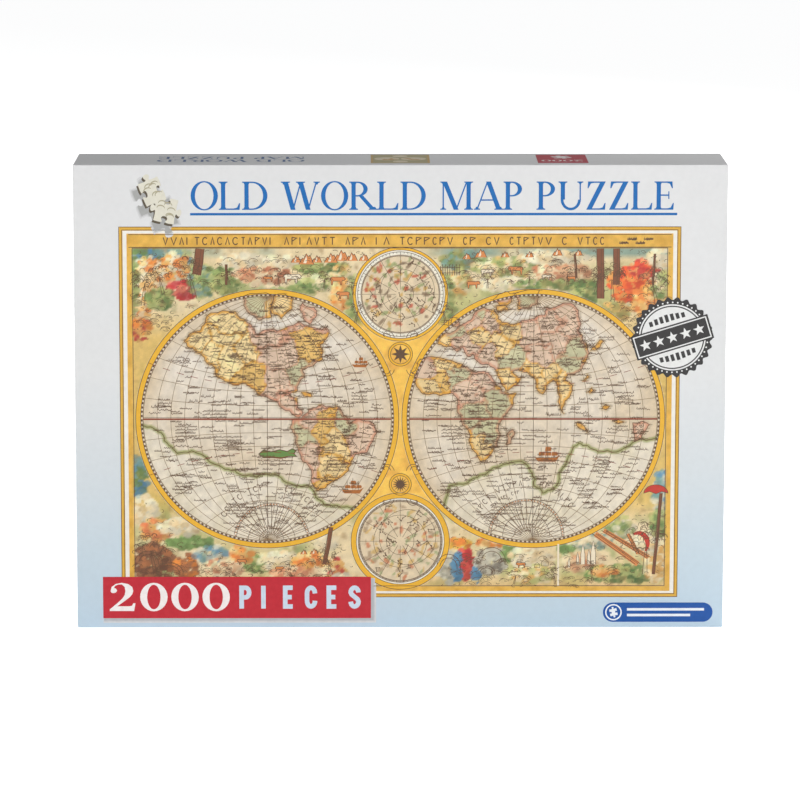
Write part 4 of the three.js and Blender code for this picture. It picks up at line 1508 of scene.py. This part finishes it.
def print_wall(name, place, label_at, title_at):
    """A long wall: the label, a small picture and the title in a row."""
    blue = inked(name + "_title", 1, (74, 104, 146), place=place)
    for text, base in (("OLD WORLD", 2.6), ("MAP PUZZLE", -11.4)):
        write_title(blue, text, title_at, title_at + 86, base, 10.2)
    picture = inked(name + "_picture", 1, (196, 166, 108), place=place)
    picture.fill(rectangle(-17, -21, 17, 19))
    fields = inked(name + "_fields", 2, (178, 168, 128), place=place)
    fields.fill(rectangle(-15.6, -19.6, 15.6, 17.6))
    globes = inked(name + "_globes", 3, (224, 212, 186), place=place)
    lands = inked(name + "_lands", 4, (196, 158, 100), place=place)
    for side, shapes in ((-1, (NORTH_WEST_LAND, SOUTH_WEST_LAND)), (1, (AFRICA_LAND, NORTH_EAST_LAND))):
        globes.fill(circle(side * 7.7, -1, 7.3, 40))
        for shape in shapes:
            lands.fill(moved(shape, side * 7.7, -1, 0.07))
    for side in (-1, 1):
        globes.fill(circle(0, -1 + side * 12.6, 4.4, 30))
    red = inked(name + "_label", 1, (184, 62, 74), place=place)
    red.fill(rectangle(label_at, -21, label_at + 29, 19))
    white = inked(name + "_count", 2, (236, 228, 226), place=place)
    for i, c in enumerate("2000"):
        for shape in numeral(c)[0]:
            white.fill(moved(shape, label_at + 2.2 + 6.2 * i, 4, 7.2))
    white.fill(moved(PLAIN_PIECE, label_at + 14.5, -9, 10, 14))
    for ink in (blue, picture, fields, globes, lands, red, white):
        ink.make()


def print_walls():
    low, high = half_box("lid")
    middle = (low + high) / 2

    def top(u, v, level):
        return -u * MM, -v * MM + middle.y, high.z + level * LAYER

    def foot(u, v, level):
        return u * MM, -v * MM + middle.y, low.z - level * LAYER

    def left(u, v, level):
        return low.x - level * LAYER, v * MM + middle.y, u * MM + middle.z

    def right(u, v, level):
        return high.x + level * LAYER, v * MM + middle.y, middle.z - u * MM
    print_wall("top_wall", top, -108, 55)
    print_wall("foot_wall", foot, -108, 55)
    print_wall("left_wall", left, -100, 32)
    print_wall("right_wall", right, -100, 32)


def print_back():
    """Pale jigsaw cut lines all over the tray's blue back."""
    low, high = half_box("tray")
    middle = (low + high) / 2

    def back(u, v, level):
        return -u * MM, high.y + level * LAYER, v * MM + middle.z
    lines = inked("back_pattern", 1, (92, 146, 200), slot="tray_paper", body="tray", place=back)
    chance = random.Random(12)
    columns, rows = 12, 9
    wide, tall = (high.x - low.x) / MM - 2, (high.z - low.z) / MM - 2
    spots = {(i, j): (-wide / 2 + wide * i / columns + (chance.uniform(-2, 2) if 0 < i < columns else 0),
                      -tall / 2 + tall * j / rows + (chance.uniform(-2, 2) if 0 < j < rows else 0))
             for i in range(columns + 1) for j in range(rows + 1)}
    for i in range(columns + 1):
        for j in range(rows + 1):
            if i < columns and 0 < j < rows:
                lines.stroke(tabbed(spots[i, j], spots[i + 1, j], chance.choice((-1, 1)), 7.5), 0.5)
            if j < rows and 0 < i < columns:
                lines.stroke(tabbed(spots[i, j], spots[i, j + 1], chance.choice((-1, 1)), 7.5), 0.5)
    lines.make()


def bag_film():
    """Clear crinkled film."""
    shader = Shader("clear_film", (0.93, 0.95, 0.97), 0.12, 0.6)
    shader.set("Alpha", 0.12)
    haze = shader.noise(14, 4)
    shader.link(shader.ramp(haze, (0.3, (0.86, 0.89, 0.92)), (0.7, (0.98, 0.99, 1.0))), "Base Color")
    shader.link(shader.range(shader.noise(30), 0.3, 0.7, 0.08, 0.22), "Roughness")
    shader.bump(shader.noise(55, 5, 0.6), 0.7, 1.2 * MM)
    return shader.material


SEAL_WIDTH, CRIMP_PITCH = 12 * MM, 2.4 * MM
BAG_EDGE, BAG_CORNER = 13 * MM, 34 * MM


def hollow_height(x, z, half_x, half_z):
    """How far a pillow's skin stands out at a place, from 0 at its rounded edge to 1."""
    inset_x, inset_z = half_x - abs(x), half_z - abs(z)
    if inset_x < BAG_CORNER and inset_z < BAG_CORNER:
        edge = BAG_CORNER - math.hypot(BAG_CORNER - inset_x, BAG_CORNER - inset_z)
    else:
        edge = min(inset_x, inset_z)
    share = max(0.0, min(1.0, edge / BAG_EDGE))
    return math.sqrt(max(0.0, 1 - (1 - share) ** 2))


def make_bag():
    """The sealed bag: two crinkled skins meeting in crimped strips at its ends."""
    low, high = corners("piece_bag")
    middle, half = (low + high) / 2, (high - low) / 2
    body_x = half.x - SEAL_WIDTH
    leaflet_low, leaflet_high = corners("leaflet")
    build = bmesh.new()
    columns, rows = 150, 72
    chance = random.Random(3)
    waves = [(chance.uniform(20, 150), chance.uniform(20, 150), chance.uniform(0, TAU)) for _ in range(9)]
    for side in (-1, 1):
        grid = []
        for i in range(columns + 1):
            x = (2 * i / columns - 1) * half.x
            line = []
            for j in range(rows + 1):
                z = (2 * j / rows - 1) * half.z
                swell = hollow_height(x, z, body_x, half.z) if abs(x) < body_x else 0.0
                ripple = sum(abs(math.sin(a * x + b * z + c)) for a, b, c in waves) / len(waves)
                over = abs(x) < leaflet_high.x + 12 * MM and z + middle.z < leaflet_high.z + 12 * MM
                loose = 0.15 if over or side > 0 else 1.1
                y = swell * (half.y + (1 - ripple) * loose * MM * min(1.0, swell))
                y = max(y, 0.25 * MM)
                if abs(x) > body_x:
                    y = 0.25 * MM
                crimp = 0.35 * MM * math.sin(TAU * z / CRIMP_PITCH) if abs(x) > body_x else 0.0
                line.append(build.verts.new((x + middle.x, middle.y + side * y + crimp, z + middle.z)))
            grid.append(line)
        for i in range(columns):
            for j in range(rows):
                face = grid[i][j], grid[i + 1][j], grid[i + 1][j + 1], grid[i][j + 1]
                build.faces.new(face if side < 0 else face[::-1])
    bag = new_object("bag_skin", build)
    smooth(bag)
    bag.data.materials.append(bag_film())
    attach(bag, "bag")
    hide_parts("piece_bag")


PIECE_TINTS = ((226, 206, 164), (214, 178, 112), (196, 160, 104), (206, 132, 70), (150, 154, 96),
               (118, 140, 96), (176, 72, 52), (224, 214, 190), (232, 196, 96), (140, 166, 160),
               (198, 176, 140), (168, 128, 86))


def make_heap():
    """Several hundred loose jigsaw pieces lying every way, over the core of the heap."""
    low, high = corners("piece_heap")
    middle, half = (low + high) / 2, (high - low) / 2
    chance = random.Random(77)
    points, faces, tints = [], [], []
    board_tint = linear(172, 164, 150)
    pitch, thick = 18.3 * MM, 2 * MM

    # The core: a pillow of the heap's own outline, a little inside the loose pieces
    columns, rows, sunk = 60, 28, 7 * MM
    for side in (-1, 1):
        start = len(points)
        for i in range(columns + 1):
            for j in range(rows + 1):
                x, z = (2 * i / columns - 1) * (half.x - 2 * MM), (2 * j / rows - 1) * (half.z - 2 * MM)
                swell = hollow_height(x, z, half.x, half.z)
                depth = (half.y - (sunk if side < 0 else 1.5 * MM)) * swell
                points.append((x + middle.x, middle.y + side * (depth + chance.uniform(-0.6, 0) * MM),
                               z + middle.z))
                tints.append(linear(*chance.choice(PIECE_TINTS)))
        for i in range(columns):
            for j in range(rows):
                corner = start + i * (rows + 1) + j
                face = (corner, corner + rows + 1, corner + rows + 2, corner + 1)
                faces.append(face if side < 0 else face[::-1])

    for number in range(840):
        x, z = (chance.uniform(-1, 1) * (size - pitch * 0.82) for size in (half.x, half.z))
        swell = hollow_height(x, z, half.x, half.z)
        lean = math.radians(chance.uniform(4, 16)), math.radians(chance.uniform(4, 16))
        reach = pitch * 0.72 * (math.sin(lean[0]) + math.sin(lean[1]))
        depth = half.y * swell - thick - reach - chance.uniform(0, 3.2) * MM
        if swell < 0.6 or depth < 0:
            continue
        turn = Matrix.Rotation(chance.choice((-1, 1)) * lean[0], 3, "X")
        turn = turn @ Matrix.Rotation(chance.choice((-1, 1)) * lean[1], 3, "Z")
        turn = turn @ Matrix.Rotation(chance.uniform(0, TAU), 3, "Y")
        outline = piece_outline([chance.choice((-1, 1)) for _ in range(4)], steps=3)
        start, count = len(points), len(outline)
        face_up = chance.random() < 0.62
        tint = linear(*chance.choice(PIECE_TINTS)) if face_up else board_tint
        second = linear(*chance.choice(PIECE_TINTS)) if face_up else board_tint
        place = Vector((x + middle.x, middle.y - depth, z + middle.z))
        for y, edge in ((-thick / 2, False), (-thick / 2, True), (thick / 2, True), (thick / 2, False)):
            for u, v in outline:
                points.append(tuple(place + turn @ Vector((u * pitch, y, v * pitch))))
                blend = 0.5 + 0.5 * math.sin(3 * u + 4 * v + number)
                front = tuple(a * blend + b * (1 - blend) for a, b in zip(tint, second))
                tints.append(board_tint if edge or y > 0 else front)
        back = start + 3 * count
        for a, b, c in triangles_of(outline):
            faces += [(start + a, start + b, start + c), (back + b, back + a, back + c)]
        for i in range(count):
            n = (i + 1) % count
            faces.append((start + count + i, start + 2 * count + i, start + 2 * count + n, start + count + n))
    mesh = bpy.data.meshes.new("loose_pieces")
    mesh.from_pydata(points, [], faces)
    colours = mesh.color_attributes.new("print", "FLOAT_COLOR", "POINT")
    colours.data.foreach_set("color", np.array([(*tint, 1) for tint in tints]).ravel())
    mesh.materials.append(painted("heap_print", 0.5))
    heap = bpy.data.objects.new("loose_pieces", mesh)
    bpy.context.collection.objects.link(heap)
    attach(heap, "bag")
    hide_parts("piece_heap")


def piece_finish():
    """Printed in patches of map colours on the front face, and bare board elsewhere."""
    shader = Shader("piece_print", linear(214, 190, 140), 0.45)
    patches = shader.noise(32, 3, 0.6)
    stops = zip((0.3, 0.38, 0.44, 0.5, 0.55, 0.6, 0.66, 0.72),
                ((140, 166, 160), (150, 154, 96), (224, 210, 176), (214, 178, 112), (228, 214, 186),
                 (206, 132, 70), (232, 196, 96), (176, 72, 52)))
    print_colour = shader.ramp(patches, *((place, linear(*tint)) for place, tint in stops))
    lines = shader.ramp(shader.noise(260, 4, 0.7), (0.42, (0.55, 0.47, 0.38)), (0.5, (1, 1, 1)))
    print_colour = shader.mix(0.55, print_colour, lines, "MULTIPLY")
    fibre = shader.noise(600, 4, 0.7)
    board_colour = shader.ramp(fibre, (0.3, linear(146, 140, 128)), (0.7, linear(184, 177, 164)))
    facing = shader.node("ShaderNodeSeparateXYZ", {0: shader.node("ShaderNodeTexCoord").outputs["Normal"]})
    is_print = shader.range(facing.outputs["Y"], -0.6, -0.5, 1, 0)
    shader.link(shader.mix(is_print, board_colour, print_colour), "Base Color")
    shader.link(shader.range(is_print, 0, 1, 0.85, 0.42), "Roughness")
    shader.bump(fibre, 0.15, 0.1 * MM)
    return shader.material


def make_leaflet():
    """A folded sheet with a rounded fold at its foot, and its printed lines."""
    low, high = corners("leaflet")
    sheet, fold = 0.16 * MM, (high.y - low.y) / 2
    middle_y = (low.y + high.y) / 2
    path = [(high.y - sheet / 2, high.z - (high.z - low.z - fold) * i / 20) for i in range(20)]
    path += [(middle_y + (fold - sheet / 2) * math.cos(a), low.z + fold - (fold - sheet / 2) * math.sin(a))
             for a in (math.pi * i / 8 for i in range(9))]
    path += [(low.y + sheet / 2, low.z + fold + (high.z - low.z - fold) * i / 20) for i in range(1, 21)]
    build = bmesh.new()
    columns = 12
    grid = [[build.verts.new((low.x + (high.x - low.x) * i / columns, y, z)) for i in range(columns + 1)]
            for y, z in path]
    for j in range(len(path) - 1):
        for i in range(columns):
            build.faces.new((grid[j][i], grid[j + 1][i], grid[j + 1][i + 1], grid[j][i + 1]))
    leaves = new_object("leaflet_sheet", build)
    thicken = leaves.modifiers.new("paper", "SOLIDIFY")
    thicken.thickness, thicken.offset = sheet, 0
    smooth(leaves)
    shader = Shader("leaflet_stock", linear(244, 243, 238), 0.6, 0.3)
    shader.link(shader.ramp(shader.noise(160, 4), (0.3, linear(236, 234, 228)), (0.7, linear(249, 248, 244))),
                "Base Color")
    shader.bump(shader.noise(500, 3), 0.2, 0.05 * MM)
    leaves.data.materials.append(shader.material)
    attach(leaves, "leaflet")
    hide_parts("leaflet")

    def on_leaflet(u, v, level):
        return u * MM, low.y - level * LAYER, v * MM + (low.z + high.z) / 2
    how = {"slot": slot_of("leaflet"), "body": "leaflet", "place": on_leaflet}
    blue = inked("leaflet_bars", 1, (28, 96, 164), **how)
    grey = inked("leaflet_lines", 1, (120, 122, 126), **how)
    blue.fill(rectangle(-66, 38, 66, 44))
    for column in (-66, 4):
        for row in range(12):
            grey.fill(rectangle(column, 30 - 4.2 * row, column + (62 if row % 5 != 4 else 34),
                                31.4 - 4.2 * row))
    for u in (-48, -16, 16, 48):
        grey.stroke(moved(PLAIN_PIECE, u, -36, 15), 0.6, closed=True)
    for ink in (blue, grey):
        ink.make()


make_camera()
make_stage()
board, tape, loose = greyboard(), kraft(), piece_finish()
wrap_piece("lid_wrap_sheet", "lid", -1, lid_paper())
wrap_piece("tray_wrap_sheet", "tray", 1, printed("tray_paper", linear(38, 96, 160), 0.5))
for part in frame["record"]["subparts"]:
    if part["material_slot"] == "greyboard":
        finish_node(part["node"], board)
    elif part["material_slot"] == "kraft_paper":
        finish_node(part["node"], tape)
    elif part["node"].startswith("jigsaw_piece"):
        finish_node(part["node"], loose)

print_frame()
print_map()
print_title()
print_label()
print_stamp()
print_badge()
print_jigsaw_picture()
print_walls()
print_back()
make_bag()
make_heap()
make_leaflet()
